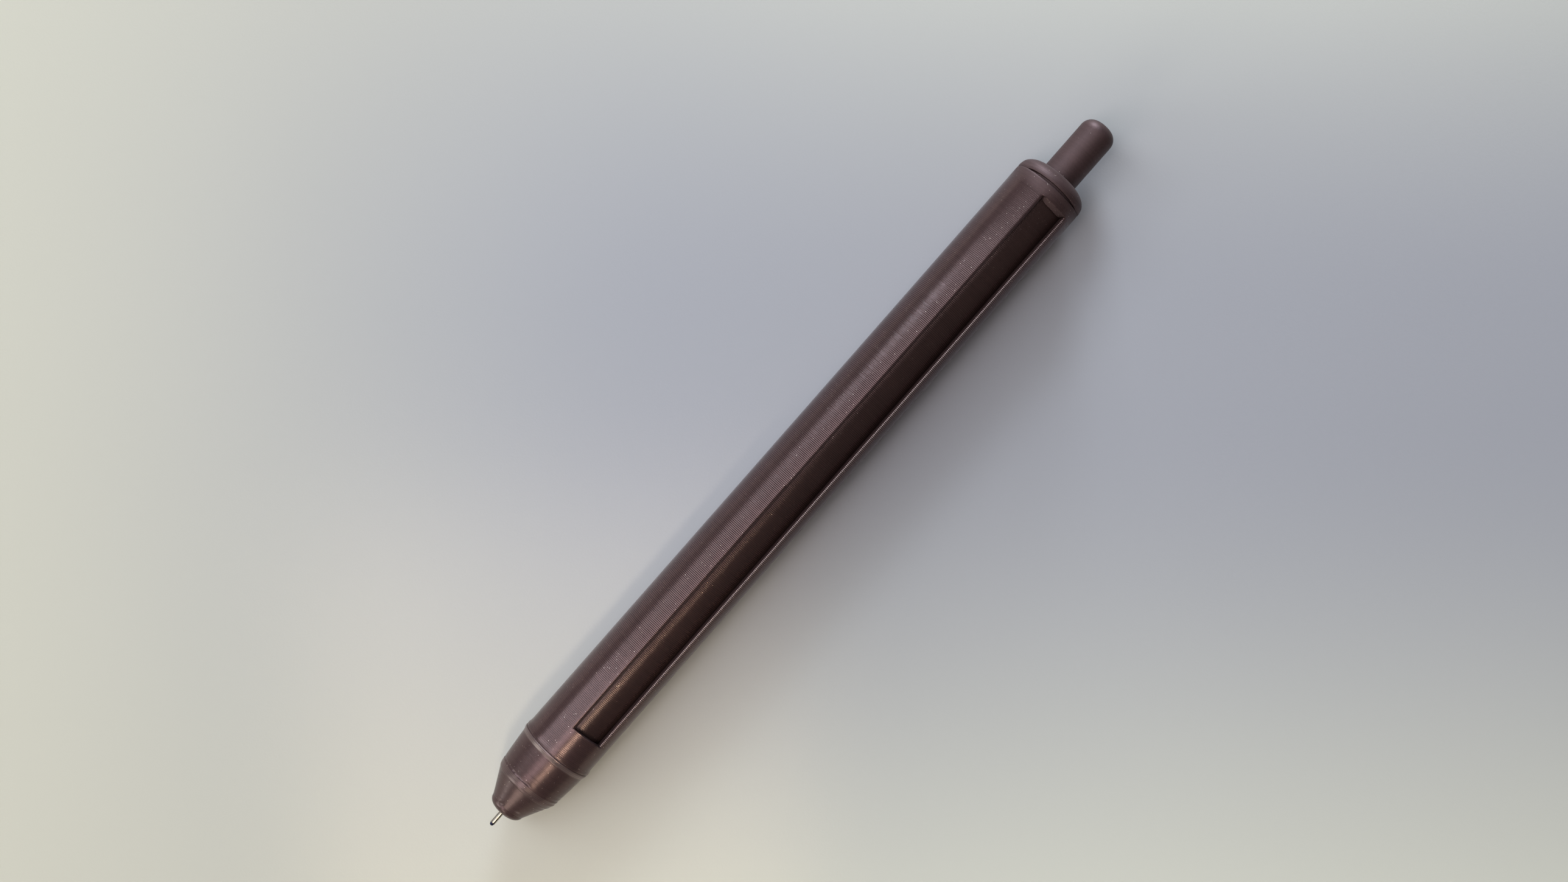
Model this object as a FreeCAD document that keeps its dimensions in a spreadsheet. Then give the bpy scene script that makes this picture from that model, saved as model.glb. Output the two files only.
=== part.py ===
import FreeCAD, Part

import math
import os
import re

import Sketcher
from FreeCAD import Placement, Rotation, Vector

# A push-button pen, printed in plastic, with its refill inside.
#
# Frame: +X runs along the pen from the writing ball to the push button, +Z is up. The origin is the
# middle of the pen's length, on the surface that the pen lies on. All sizes are in millimetres.
# "Front" is the writing end. Each piece is drawn in a frame of its own, whose X axis is the pen's
# axis and whose zero is one of the piece's own faces, and is then set at its station on the pen.

SIZES = {
    # lengths that show from outside
    "needle_out": (3.0, "needle and ball in front of the nose"),
    "nose_length": (13.5, "nose, from its front face to the seam"),
    "barrel_length": (121.3, "outer barrel"),
    "cap_length": (3.1, "end cap, behind the barrel"),
    "plunger_out": (11.05, "push button, behind the cap"),
    # outer barrel and its window
    "barrel_wall": (1.2, "wall of the outer barrel"),
    "tube_gap": (0.3, "radial gap between barrel and inner tube"),
    "foot_flare": (0.1, "how far the barrel's first layers bulge"),
    "foot_length": (0.6, "length of that bulge"),
    "window_front": (5.5, "barrel left standing in front of the window"),
    "window_rear": (2.1, "barrel left standing behind the window"),
    "window_width": (5.5, "window, straight across"),
    "window_turn": (25.75, "degrees from the top to the window's middle"),
    # nose
    "tip_flat": (1.2, "radius of the nose's flat face"),
    "tip_round": (1.8, "radius of the nose's rounded end"),
    "cone_length": (6.5, "rounded end and steep cone together"),
    "cone_drop": (0.7, "cone's wide end, below the barrel's radius"),
    "shoulder_length": (1.0, "soft shoulder behind the cone"),
    "shoulder_rise": (0.2, "how much the shoulder rises"),
    "skirt_drop": (0.1, "skirt's rear end, below the barrel's radius"),
    "lip_height": (0.19, "lip, above the barrel's radius"),
    "lip_flare": (0.6, "length over which the skirt flares to the lip"),
    "lip_land": (0.25, "length of the lip itself"),
    "needle_wall": (1.2, "wall that the needle passes"),
    "seat_depth": (3.2, "nose face to the spring's seat"),
    "needle_gap": (0.2, "radial gap round the needle"),
    "cone_gap": (0.25, "radial gap round the metal cone"),
    "nose_spigot": (4.2, "spigot that plugs into the barrel"),
    "nose_boss": (2.5, "boss that plugs into the inner tube"),
    # inner tube and click mechanism
    "refill_gap": (0.65, "radial gap round the refill"),
    "tube_end_gap": (0.2, "axial gap behind the inner tube"),
    "tube_rear_wall": (0.7, "inner tube's wall round the cam sleeve"),
    "push_fit": (0.03, "radial gap of two pieces pushed together"),
    "press_travel": (1.2, "how far the button goes in past its rest"),
    "retract_travel": (5.0, "how far the refill draws back"),
    "end_gap": (0.3, "axial gap left at each end of the travel"),
    "click_gap": (0.3, "axial gap between rotor ribs and sleeve teeth"),
    "sleeve_length": (9.0, "cam sleeve"),
    "sleeve_skin": (0.45, "cam sleeve's wall behind a groove"),
    "groove_width": (1.7, "deep groove"),
    "groove_count": (4, "deep grooves round the sleeve"),
    "notch_width": (1.7, "latch notch"),
    "notch_depth": (1.0, "latch notch, at its deep side"),
    "rib_width": (1.1, "rib on rotor and plunger"),
    "rib_height": (0.6, "how far a rib overlaps the sleeve"),
    "rib_gap": (0.3, "radial gap outside a rib"),
    "rotor_room": (0.4, "radial room for the rotor in front of the sleeve"),
    "crown_gap": (0.25, "radial gap between crown and sleeve"),
    "crown_wall": (0.85, "wall of the plunger's crown"),
    "crown_teeth": (8, "teeth round the crown"),
    "tooth_depth": (0.8, "crown tooth"),
    "tooth_width": (1.65, "crown tooth, straight across"),
    "rib_root": (0.55, "how deep a plunger rib is rooted in crown and flange"),
    "rib_setback": (1.0, "rib's front end, behind the piece's front face"),
    "crown_bore_depth": (6.0, "depth of the crown's bore"),
    # plunger and cap
    "plunger_diameter": (6.2, "push button"),
    "plunger_gap": (0.2, "radial gap between button and cap"),
    "plunger_round": (2.0, "rounding of the button's end"),
    "plunger_dome": (0.15, "height of the dome on the button's end"),
    "flange_lip": (0.65, "flange, above the button's radius"),
    "flange_thickness": (1.2, "plunger's flange"),
    "flange_gap": (0.4, "radial gap round the flange"),
    "cap_spigot": (2.4, "cap's spigot in the inner tube"),
    "cap_round": (3.2, "radius of the cap's rounding"),
    "cap_seam": (0.35, "width of the open seam in front of the cap"),
    "cap_seam_depth": (0.45, "depth of that seam"),
    # rotor
    "rotor_core": (4.6, "thick front part of the rotor"),
    "rotor_rib_end": (5.6, "rotor's front face to the ribs' rear end"),
    "rotor_pilot": (2.2, "pilot that reaches into the plunger's crown"),
    "rotor_rib_root": (0.2, "how deep a rotor rib is rooted in the pilot"),
    "pilot_gap": (0.3, "radial gap round the pilot"),
    "rotor_gap": (0.2, "axial gap between rotor and plug"),
    "pin_diameter": (1.8, "pin that the rotor turns on"),
    "pin_length": (4.0, "length of that pin"),
    "pin_gap": (0.1, "radial gap round the pin"),
    # refill
    "refill_diameter": (6.0, "refill tube, outside"),
    "refill_wall": (0.6, "wall of the refill tube"),
    "plug_length": (2.3, "refill plug's head"),
    "plug_rim": (0.3, "plug's head, above the refill's radius"),
    "plug_depth": (4.0, "plug and holder inside the refill tube"),
    "headspace": (14.0, "empty tube behind the grease"),
    "grease_length": (6.0, "grease plug"),
    "holder_diameter": (3.5, "holder inside the spring"),
    "holder_chamfer": (0.45, "chamfer on the holder's front end"),
    "shoulder_thickness": (1.2, "holder's shoulder"),
    "ink_bore": (1.2, "ink channel through the holder"),
    "cone_front_gap": (0.4, "room in front of the metal cone, pressed"),
    "cone_diameter": (2.4, "metal cone, wide part"),
    "cone_tip_diameter": (1.5, "metal cone, front face"),
    "cone_taper": (3.2, "tapered part of the metal cone"),
    "cone_body": (6.5, "metal cone in front of the holder"),
    "cone_tail_diameter": (1.8, "metal cone's tail in the holder"),
    "cone_tail": (2.0, "length of that tail"),
    "cone_bore": (0.7, "ink channel through the metal cone"),
    "needle_diameter": (0.84, "needle, outside"),
    "needle_bore": (0.32, "needle, inside"),
    "needle_seat": (2.5, "needle's depth in the metal cone"),
    "needle_fit": (0.01, "radial gap round the needle in the cone"),
    "needle_taper": (0.45, "tapered end of the needle"),
    "rim_diameter": (0.58, "needle's rim round the ball"),
    "ball_diameter": (0.5, "writing ball"),
    "ball_out": (0.13, "ball in front of the needle's rim"),
    "ball_gap": (0.015, "radial gap round the ball"),
    # return spring
    "wire_diameter": (0.45, "spring wire"),
    "coil_gap": (0.275, "radial gap between spring and holder"),
    "nose_gap": (0.425, "radial gap between spring and nose"),
    "coil_turns": (14, "turns of the spring"),
    "coil_end_gap": (0.05, "axial gap at each end of the spring"),
}

# Places and radii that follow from the sizes. Stations are distances behind the writing ball's tip.
DERIVED = {
    "overall": "needle_out + nose_length + barrel_length + cap_length + plunger_out",
    "barrel_front": "needle_out + nose_length",
    "barrel_rear": "barrel_front + barrel_length",
    "tube_front": "barrel_front + nose_spigot",
    "tube_length": "barrel_length - nose_spigot - tube_end_gap",
    # radii, from the middle outwards
    "refill_radius": "refill_diameter / 2",
    "plunger_radius": "plunger_diameter / 2",
    "plunger_bore": "plunger_radius + plunger_gap",
    "flange_radius": "plunger_radius + flange_lip",
    "sleeve_seat": "flange_radius + flange_gap",
    "sleeve_radius": "sleeve_seat - push_fit",
    "tube_radius": "sleeve_seat + tube_rear_wall",
    "tube_bore": "refill_radius + refill_gap",
    "barrel_bore": "tube_radius + tube_gap",
    "barrel_radius": "barrel_bore + barrel_wall",
    "lip_radius": "barrel_radius + lip_height",
    "groove_radius": "sleeve_radius - sleeve_skin",
    "rib_radius": "groove_radius - rib_gap",
    "sleeve_bore": "rib_radius - rib_height",
    "room_radius": "rib_radius + rotor_room",
    "crown_radius": "sleeve_bore - crown_gap",
    "crown_bore": "crown_radius - crown_wall",
    "pilot_radius": "crown_bore - pilot_gap",
    "pin_radius": "pin_diameter / 2",
    "pin_bore": "pin_radius + pin_gap",
    "holder_radius": "holder_diameter / 2",
    "coil_radius": "holder_radius + coil_gap + wire_diameter / 2",
    "nose_cavity": "coil_radius + wire_diameter / 2 + nose_gap",
    "nose_bore": "needle_radius + needle_gap",
    "cone_cavity": "cone_radius + cone_gap",
    "refill_bore": "refill_radius - refill_wall",
    "refill_plug_radius": "refill_bore - push_fit",
    "cone_radius": "cone_diameter / 2",
    "cone_tail_radius": "cone_tail_diameter / 2",
    "needle_radius": "needle_diameter / 2",
    "needle_channel": "needle_bore / 2",
    "ball_radius": "ball_diameter / 2",
    "ball_seat": "ball_radius + ball_gap",
    # stations of the click mechanism, from the cap forwards
    "flange_rear": "barrel_rear - cap_spigot - end_gap - retract_travel",
    "sleeve_rear": "flange_rear - flange_thickness - end_gap - press_travel",
    "sleeve_front": "sleeve_rear - sleeve_length",
    "rotor_front": "sleeve_front - click_gap - rotor_rib_end",
    "refill_rear": "rotor_front - rotor_gap - plug_length",
    # stations of the refill's writing end, from the nose rearwards
    "cone_front": "needle_out + needle_wall + press_travel + cone_front_gap",
    "holder_front": "cone_front + cone_body",
    "shoulder_front": "tube_front + nose_boss + press_travel + end_gap",
    "refill_front": "shoulder_front + shoulder_thickness",
    "ink_front": "refill_front + plug_depth",
    "ink_length": "refill_rear - plug_depth - headspace - grease_length - ink_front",
}

ENOUGH = 1.0  # how far a cut reaches past what it cuts
WORD = re.compile(r"[a-z]+(?:_[a-z]+)*")
LEAST_COIL_GAP = 0.4  # wire to wire, on the return spring

doc = FreeCAD.newDocument("pen")
sheet = doc.addObject("Spreadsheet::Sheet", "Sizes")
pieces = []


def fill_sheet():
    """One row for each driving size: its number, under its alias, and what it is."""
    for row, (alias, (value, meaning)) in enumerate(SIZES.items(), start=1):
        sheet.set(f"A{row}", str(value))
        sheet.setAlias(f"A{row}", alias)
        sheet.set(f"B{row}", meaning)
    doc.recompute()


def formula(text):
    """Turns plain words into cells of the sheet. A derived word becomes its own formula in brackets."""

    def swap(match):
        word = match.group(0)
        if word in DERIVED:
            return "(" + formula(DERIVED[word]) + ")"
        return "Sizes." + word if word in SIZES else word

    return WORD.sub(swap, text)


def number(text):
    """What a formula comes to, in millimetres."""
    return float(sheet.evalExpression(formula(text)))


def bind(thing, path, text):
    """Ties one property or constraint to the sheet."""
    thing.setExpression(path, formula(text))


def keep(piece, label, station):
    """Names a finished piece and sets it at its station on the pen's axis, which lies as high as the
    nose's lip reaches out."""
    piece.Label = label
    bind(piece, "Placement.Base.x", f"{station} - overall / 2")
    bind(piece, "Placement.Base.z", "lip_radius")
    pieces.append(piece)


def origin_plane(body, role):
    """The body's own origin plane of that name."""
    return next(feature for feature in body.Origin.OriginFeatures if feature.Role == role)


def arc_through(start, end, radius, bulge):
    """A sketch arc between two corners. Bulge is 1 where it runs anticlockwise, -1 where clockwise."""
    chord = end - start
    half = chord.Length / 2
    across = Vector(-chord.y, chord.x, 0).normalize()
    centre = (start + end) / 2 + across * bulge * math.sqrt(max(radius**2 - half**2, 0))
    first = math.atan2(start.y - centre.y, start.x - centre.x)
    last = math.atan2(end.y - centre.y, end.x - centre.x)
    if bulge < 0:
        first, last = last, first
    if last < first:
        last += 2 * math.pi
    return Part.ArcOfCircle(Part.Circle(centre, Vector(0, 0, 1), radius), first, last)


def outline(body, name, corners, plane="XY_Plane", lean=None, lift=None):
    """A closed sketch through its corners, each held by two formulas. A corner with a third and fourth
    entry starts an arc: that radius, and 1 or -1 for the way it turns. Lean tips the plane about X by
    that many degrees and lift moves it along its normal."""
    sketch = body.newObject("Sketcher::SketchObject", name)
    sketch.AttachmentSupport = [(origin_plane(body, plane), "")]
    sketch.MapMode = "FlatFace"
    if lean:
        bind(sketch, "AttachmentOffset.Rotation.Axis.x", "1")
        bind(sketch, "AttachmentOffset.Rotation.Axis.z", "0")
        bind(sketch, "AttachmentOffset.Rotation.Angle", lean)
    if lift:
        bind(sketch, "AttachmentOffset.Base.z", lift)

    places = [Vector(number(corner[0]), number(corner[1]), 0) for corner in corners]
    ends = []
    for index, corner in enumerate(corners):
        start, end = places[index], places[(index + 1) % len(places)]
        if len(corner) > 2:
            shape = arc_through(start, end, number(corner[2]), corner[3])
            sketch.addGeometry(shape, False)
            sketch.addConstraint(Sketcher.Constraint("Radius", index, number(corner[2])))
            bind(sketch, f"Constraints[{sketch.ConstraintCount - 1}]", corner[2])
            ends.append((1, 2) if corner[3] > 0 else (2, 1))
        else:
            sketch.addGeometry(Part.LineSegment(start, end), False)
            ends.append((1, 2))

    for index, corner in enumerate(corners):
        before = index - 1 if index else len(corners) - 1
        point = ends[index][0]
        sketch.addConstraint(Sketcher.Constraint("Coincident", before, ends[before][1], index, point))
        for kind, axis, entry in (("DistanceX", -2, corner[0]), ("DistanceY", -1, corner[1])):
            if entry == "0":
                sketch.addConstraint(Sketcher.Constraint("PointOnObject", index, point, axis))
            else:
                size = number(entry)
                sketch.addConstraint(Sketcher.Constraint(kind, -1, 1, index, point, size))
                bind(sketch, f"Constraints[{sketch.ConstraintCount - 1}]", entry)
    return sketch


def turned(name, corners, refine=True):
    """A body turned about X from the outline of its half section. The section lies square to the
    window's middle, so no seam of a round face runs through the window. Without refine, faces that
    lie in line stay apart where the outline has a corner between them."""
    body = doc.addObject("PartDesign::Body", name)
    sketch = outline(body, f"{name}_section", corners, lean="window_turn")
    turn = body.newObject("PartDesign::Revolution", f"{name}_turn")
    turn.Profile = sketch
    turn.ReferenceAxis = (sketch, ["H_Axis"])
    turn.Angle = 360
    turn.Refine = refine
    sketch.Visibility = False
    doc.recompute()
    return body, sketch


def raised(body, sketch, length):
    """Adds a sketch's shape, from its plane along its normal."""
    pad = body.newObject("PartDesign::Pad", f"{sketch.Name}_pad")
    pad.Profile = sketch
    bind(pad, "Length", length)
    doc.recompute()
    return pad


def sunk(body, sketch, length, refine=True):
    """Cuts a sketch's shape out, from its plane along its normal, and makes sure that it cut."""
    before = body.Shape.Volume
    pocket = body.newObject("PartDesign::Pocket", f"{sketch.Name}_cut")
    pocket.Profile = sketch
    pocket.Reversed = True
    pocket.Refine = refine
    bind(pocket, "Length", length)
    doc.recompute()
    if not body.Shape.Volume < before:
        raise RuntimeError(f"{sketch.Name} cut nothing")
    return pocket


def ringed(body, feature, section, count):
    """Repeats a feature round the pen's axis."""
    pattern = body.newObject("PartDesign::PolarPattern", f"{feature.Name}_ring")
    pattern.Originals = [feature]
    pattern.Axis = (section, ["H_Axis"])
    pattern.Angle = 360
    bind(pattern, "Occurrences", count)
    body.Tip = pattern
    doc.recompute()
    return pattern


def rod(label, radius, length, station):
    """A plain round rod along X."""
    cylinder = doc.addObject("Part::Cylinder", label)
    bind(cylinder, "Radius", radius)
    bind(cylinder, "Height", length)
    cylinder.Placement = Placement(Vector(), Rotation(Vector(0, 1, 0), 90))
    keep(cylinder, label, station)


def make_outer_barrel():
    """The long tube. Its first layers bulge a little, and a long window is cut through one side, so
    its outside is a whole round in front of the window and behind it and an open one along it."""
    body, _ = turned(
        "outer_barrel",
        [
            ("0", "barrel_bore"),
            ("0", "barrel_radius + foot_flare"),
            ("foot_length", "barrel_radius"),
            ("window_front", "barrel_radius"),
            ("barrel_length - window_rear", "barrel_radius"),
            ("barrel_length", "barrel_radius"),
            ("barrel_length", "barrel_bore"),
        ],
        refine=False,
    )
    window = outline(
        body,
        "window",
        [
            ("window_front", "-window_width / 2"),
            ("barrel_length - window_rear", "-window_width / 2"),
            ("barrel_length - window_rear", "window_width / 2"),
            ("window_front", "window_width / 2"),
        ],
        lean="window_turn",
    )
    sunk(body, window, f"barrel_radius + {ENOUGH}", refine=False)
    keep(body, "outer_barrel", "barrel_front")


def make_inner_tube():
    """The smaller tube seen through the window: narrow round the refill, wider round the rotor and
    widest round the cam sleeve and the plunger's flange."""
    room = "rotor_front - press_travel - tube_front"
    seat = "sleeve_front - tube_front"
    body, _ = turned(
        "inner_tube",
        [
            ("0", "tube_bore"),
            ("0", "tube_radius"),
            ("tube_length", "tube_radius"),
            ("tube_length", "sleeve_seat"),
            (seat, "sleeve_seat"),
            (seat, "room_radius"),
            (room, "room_radius"),
            (room, "tube_bore"),
        ],
    )
    keep(body, "inner_tube", "tube_front")


def make_nose_cone():
    """Rounded end, steep cone, long skirt and flared lip, then the spigot and boss that hold it."""
    rear = "nose_length + nose_spigot + nose_boss"
    body, _ = turned(
        "nose_cone",
        [
            ("0", "nose_bore"),
            ("0", "tip_flat", "tip_round", -1),
            ("tip_round", "tip_flat + tip_round"),
            ("cone_length", "barrel_radius - cone_drop"),
            ("cone_length + shoulder_length", "barrel_radius - cone_drop + shoulder_rise"),
            ("nose_length - lip_land - lip_flare", "barrel_radius - skirt_drop"),
            ("nose_length - lip_land", "lip_radius"),
            ("nose_length", "lip_radius"),
            ("nose_length", "barrel_bore - push_fit"),
            ("nose_length + nose_spigot", "barrel_bore - push_fit"),
            ("nose_length + nose_spigot", "tube_bore - push_fit"),
            (rear, "tube_bore - push_fit"),
            (rear, "nose_cavity"),
            ("seat_depth", "nose_cavity"),
            ("seat_depth", "cone_cavity"),
            ("needle_wall", "cone_cavity"),
            ("needle_wall", "nose_bore"),
        ],
    )
    keep(body, "nose_cone", "needle_out")


def make_end_cap():
    """A rounded cap with the button's bore, an open seam in front and a spigot in the tube."""
    middle = "barrel_radius - cap_round"
    edge = f"{middle} + sqrt(cap_round ^ 2 - (cap_seam + cap_round - cap_length) ^ 2)"
    face = f"cap_length - cap_round + sqrt(cap_round ^ 2 - (plunger_bore - ({middle})) ^ 2)"
    body, _ = turned(
        "end_cap",
        [
            ("-cap_spigot", "plunger_bore"),
            ("-cap_spigot", "sleeve_radius"),
            ("0", "sleeve_radius"),
            ("0", "barrel_radius - cap_seam_depth"),
            ("cap_seam", "barrel_radius - cap_seam_depth"),
            ("cap_seam", edge, "cap_round", -1),
            (face, "plunger_bore"),
        ],
    )
    keep(body, "end_cap", "barrel_rear")


def make_cam_sleeve():
    """The fixed sleeve: deep grooves all the way through, and a slanted latch notch between each two."""
    body, section = turned(
        "cam_sleeve",
        [
            ("0", "sleeve_bore"),
            ("0", "sleeve_radius"),
            ("sleeve_length", "sleeve_radius"),
            ("sleeve_length", "sleeve_bore"),
        ],
    )
    groove = outline(
        body,
        "groove",
        [
            ("0", "-groove_width / 2"),
            ("sleeve_length", "-groove_width / 2"),
            ("sleeve_length", "groove_width / 2"),
            ("0", "groove_width / 2"),
        ],
    )
    ringed(body, sunk(body, groove, "groove_radius"), section, "groove_count")
    notch = outline(
        body,
        "notch",
        [
            ("0", "-notch_width / 2"),
            ("notch_depth", "notch_width / 2"),
            ("0", "notch_width / 2"),
        ],
        lean="180 / groove_count",
    )
    ringed(body, sunk(body, notch, f"sleeve_radius + {ENOUGH}"), section, "groove_count")
    keep(body, "cam_sleeve", "sleeve_front")


def make_plunger():
    """The push button: toothed crown, ribs that run in the sleeve's grooves, flange and round end."""
    flange = "sleeve_length + press_travel + end_gap"
    end = "overall - sleeve_front"
    body, section = turned(
        "plunger",
        [
            ("0", "crown_bore"),
            ("0", "crown_radius"),
            (flange, "crown_radius"),
            (flange, "flange_radius"),
            (f"{flange} + flange_thickness", "flange_radius"),
            (f"{flange} + flange_thickness", "plunger_radius"),
            (f"{end} - plunger_dome - plunger_round", "plunger_radius", "plunger_round", -1),
            (f"{end} - plunger_dome", "plunger_radius - plunger_round"),
            (end, "0"),
            ("crown_bore_depth", "0"),
            ("crown_bore_depth", "crown_bore"),
        ],
    )
    rib = outline(
        body,
        "plunger_rib",
        [
            ("rib_setback", "-rib_width / 2"),
            (f"{flange} + rib_root", "-rib_width / 2"),
            (f"{flange} + rib_root", "rib_width / 2"),
            ("rib_setback", "rib_width / 2"),
        ],
        lift="crown_radius - rib_root",
    )
    height = "rib_radius - crown_radius + rib_root"
    ringed(body, raised(body, rib, height), section, "groove_count")
    tooth = outline(
        body,
        "crown_tooth",
        [
            ("0", "-tooth_width / 2"),
            ("tooth_depth", "tooth_width / 2"),
            ("0", "tooth_width / 2"),
        ],
        lean="180 / crown_teeth",
    )
    ringed(body, sunk(body, tooth, f"crown_radius + {ENOUGH}"), section, "crown_teeth")
    keep(body, "plunger", "sleeve_front")


def make_rotor():
    """The ratchet wheel: a bored core, slanted ribs and a pilot that keeps it in line with the crown."""
    body, section = turned(
        "rotor",
        [
            ("0", "pin_bore"),
            ("0", "crown_radius"),
            ("rotor_core", "crown_radius"),
            ("rotor_core", "pilot_radius"),
            ("rotor_rib_end + rotor_pilot", "pilot_radius"),
            ("rotor_rib_end + rotor_pilot", "0"),
            ("pin_length", "0"),
            ("pin_length", "pin_bore"),
        ],
    )
    slant = "notch_depth * rib_width / notch_width"
    foot = "pilot_radius - rotor_rib_root"
    rib = outline(
        body,
        "rotor_rib",
        [
            ("rib_setback", "-rib_width / 2"),
            (f"rotor_rib_end - {slant}", "-rib_width / 2"),
            ("rotor_rib_end", "rib_width / 2"),
            ("rib_setback", "rib_width / 2"),
        ],
        lift=foot,
    )
    ringed(body, raised(body, rib, f"rib_radius - ({foot})"), section, "groove_count")
    keep(body, "rotor", "rotor_front")


def make_refill_plug():
    """The plug in the refill's tail, with the pin that the rotor turns on."""
    body, _ = turned(
        "refill_plug",
        [
            ("-plug_depth", "0"),
            ("-plug_depth", "refill_plug_radius"),
            ("0", "refill_plug_radius"),
            ("0", "refill_radius + plug_rim"),
            ("plug_length", "refill_radius + plug_rim"),
            ("plug_length", "pin_radius"),
            ("plug_length + pin_length", "pin_radius"),
            ("plug_length + pin_length", "0"),
        ],
    )
    keep(body, "refill_plug", "refill_rear")


def make_refill_tube():
    """The refill's tube, from the holder's shoulder to the plug's head."""
    length = "refill_rear - refill_front"
    body, _ = turned(
        "refill_tube",
        [
            ("0", "refill_bore"),
            ("0", "refill_radius"),
            (length, "refill_radius"),
            (length, "refill_bore"),
        ],
    )
    keep(body, "refill_tube", "refill_front")


def make_ink():
    """The ink, and the plug of grease that follows it down the tube."""
    rod("ink_column", "refill_plug_radius", "ink_length", "ink_front")
    rod("grease_follower", "refill_plug_radius", "grease_length", "ink_front + ink_length")


def make_tip_holder():
    """The socket between metal cone and refill tube. The spring pushes on its shoulder."""
    shoulder = "shoulder_front - holder_front"
    rear = f"{shoulder} + shoulder_thickness"
    socket = "cone_tail + coil_end_gap"
    body, _ = turned(
        "tip_holder",
        [
            ("0", "cone_tail_radius + push_fit"),
            ("0", "holder_radius - holder_chamfer"),
            ("holder_chamfer", "holder_radius"),
            (shoulder, "holder_radius"),
            (shoulder, "refill_radius"),
            (rear, "refill_radius"),
            (rear, "refill_plug_radius"),
            (f"{rear} + plug_depth", "refill_plug_radius"),
            (f"{rear} + plug_depth", "ink_bore / 2"),
            (socket, "ink_bore / 2"),
            (socket, "cone_tail_radius + push_fit"),
        ],
    )
    keep(body, "tip_holder", "holder_front")


def make_tip_cone():
    """The metal cone, bored for the needle in front and for the ink behind."""
    body, _ = turned(
        "tip_cone",
        [
            ("0", "needle_radius + needle_fit"),
            ("0", "cone_tip_diameter / 2"),
            ("cone_taper", "cone_radius"),
            ("cone_body", "cone_radius"),
            ("cone_body", "cone_tail_radius"),
            ("cone_body + cone_tail", "cone_tail_radius"),
            ("cone_body + cone_tail", "cone_bore / 2"),
            ("needle_seat", "cone_bore / 2"),
            ("needle_seat", "needle_radius + needle_fit"),
        ],
    )
    keep(body, "tip_cone", "cone_front")


def make_needle():
    """The needle, whose rim closes over the ball so that it can't fall out, and the ball itself."""
    middle = "ball_radius - ball_out"
    rim = f"sqrt(ball_seat ^ 2 - ({middle}) ^ 2)"
    throat = f"{middle} + sqrt(ball_seat ^ 2 - needle_channel ^ 2)"
    length = "cone_front + needle_seat - needle_fit - ball_out"
    body, _ = turned(
        "needle_tube",
        [
            ("0", "rim_diameter / 2"),
            ("needle_taper", "needle_radius"),
            (length, "needle_radius"),
            (length, "needle_channel"),
            (throat, "needle_channel", "ball_seat", 1),
            ("0", rim),
        ],
    )
    keep(body, "needle_tube", "ball_out")

    ball = doc.addObject("Part::Sphere", "writing_ball")
    bind(ball, "Radius", "ball_radius")
    keep(ball, "writing_ball", "ball_radius")


def arc_to(start, knee, end):
    """The arc that leaves start towards the knee and reaches end from it."""
    middle = (start + end) / 2
    half = (end - start).Length / 2
    height = (knee - middle).Length
    reach = (knee - start).Length
    rise = half * (1 - half / reach) / (height / reach)
    return Part.Arc(start, middle + (knee - middle) * (rise / height), end)


def biarc(start, start_way, end, end_way):
    """Two arcs that leave start one way, arrive at end another way and meet without a corner."""
    chord = end - start
    both = start_way + end_way
    spread = 2 * (1 - start_way.dot(end_way))
    along = chord.dot(both)
    reach = (math.sqrt(along**2 + spread * chord.dot(chord)) - along) / spread
    first_knee = start + start_way * reach
    last_knee = end - end_way * reach
    meet = (first_knee + last_knee) / 2
    return [arc_to(start, first_knee, meet), arc_to(meet, last_knee, end)]


def make_return_spring():
    """The coil spring, one unbroken wire on biarcs of half a turn, from the nose's seat to the holder's
    shoulder. It is drawn at the length that it has with the needle out."""
    wire = number("wire_diameter") / 2
    radius = number("coil_radius")
    turns = number("coil_turns")
    front = "needle_out + seat_depth + coil_end_gap + wire_diameter / 2"
    rear = "shoulder_front - coil_end_gap - wire_diameter / 2"
    rise = number(f"{rear} - ({front})") / (2 * math.pi * turns)

    def at(angle):
        return Vector(rise * angle, radius * math.cos(angle), radius * math.sin(angle))

    def way(angle):
        step = Vector(rise, -radius * math.sin(angle), radius * math.cos(angle))
        return step.normalize()

    halves = [index * math.pi for index in range(int(round(2 * turns)) + 1)]
    arcs = []
    for one, two in zip(halves, halves[1:]):
        arcs += biarc(at(one), way(one), at(two), way(two))
    path = Part.Wire([arc.toShape() for arc in arcs])
    section = Part.Wire([Part.Circle(at(0), way(0), wire).toShape()])

    spring = doc.addObject("Part::Feature", "return_spring")
    spring.Shape = path.makePipeShell([section], True, False)
    print(f"return_spring: least gap to itself {least_coil_gap(arcs, wire):.3f} mm")
    keep(spring, "return_spring", front)


def least_coil_gap(arcs, wire):
    """The least distance between the wire's surfaces more than half a turn apart, on points."""
    points_per_arc = 12
    points = []
    for arc in arcs:
        edge = arc.toShape()
        points += edge.discretize(points_per_arc + 1)[:-1]
    half_turn = 2 * points_per_arc
    gap = min(
        (points[late] - points[early]).Length
        for early in range(len(points))
        for late in range(early + half_turn, min(early + 3 * half_turn, len(points)))
    )
    if gap - 2 * wire < LEAST_COIL_GAP:
        print("return_spring: the turns lie too close")
    return gap - 2 * wire


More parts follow.
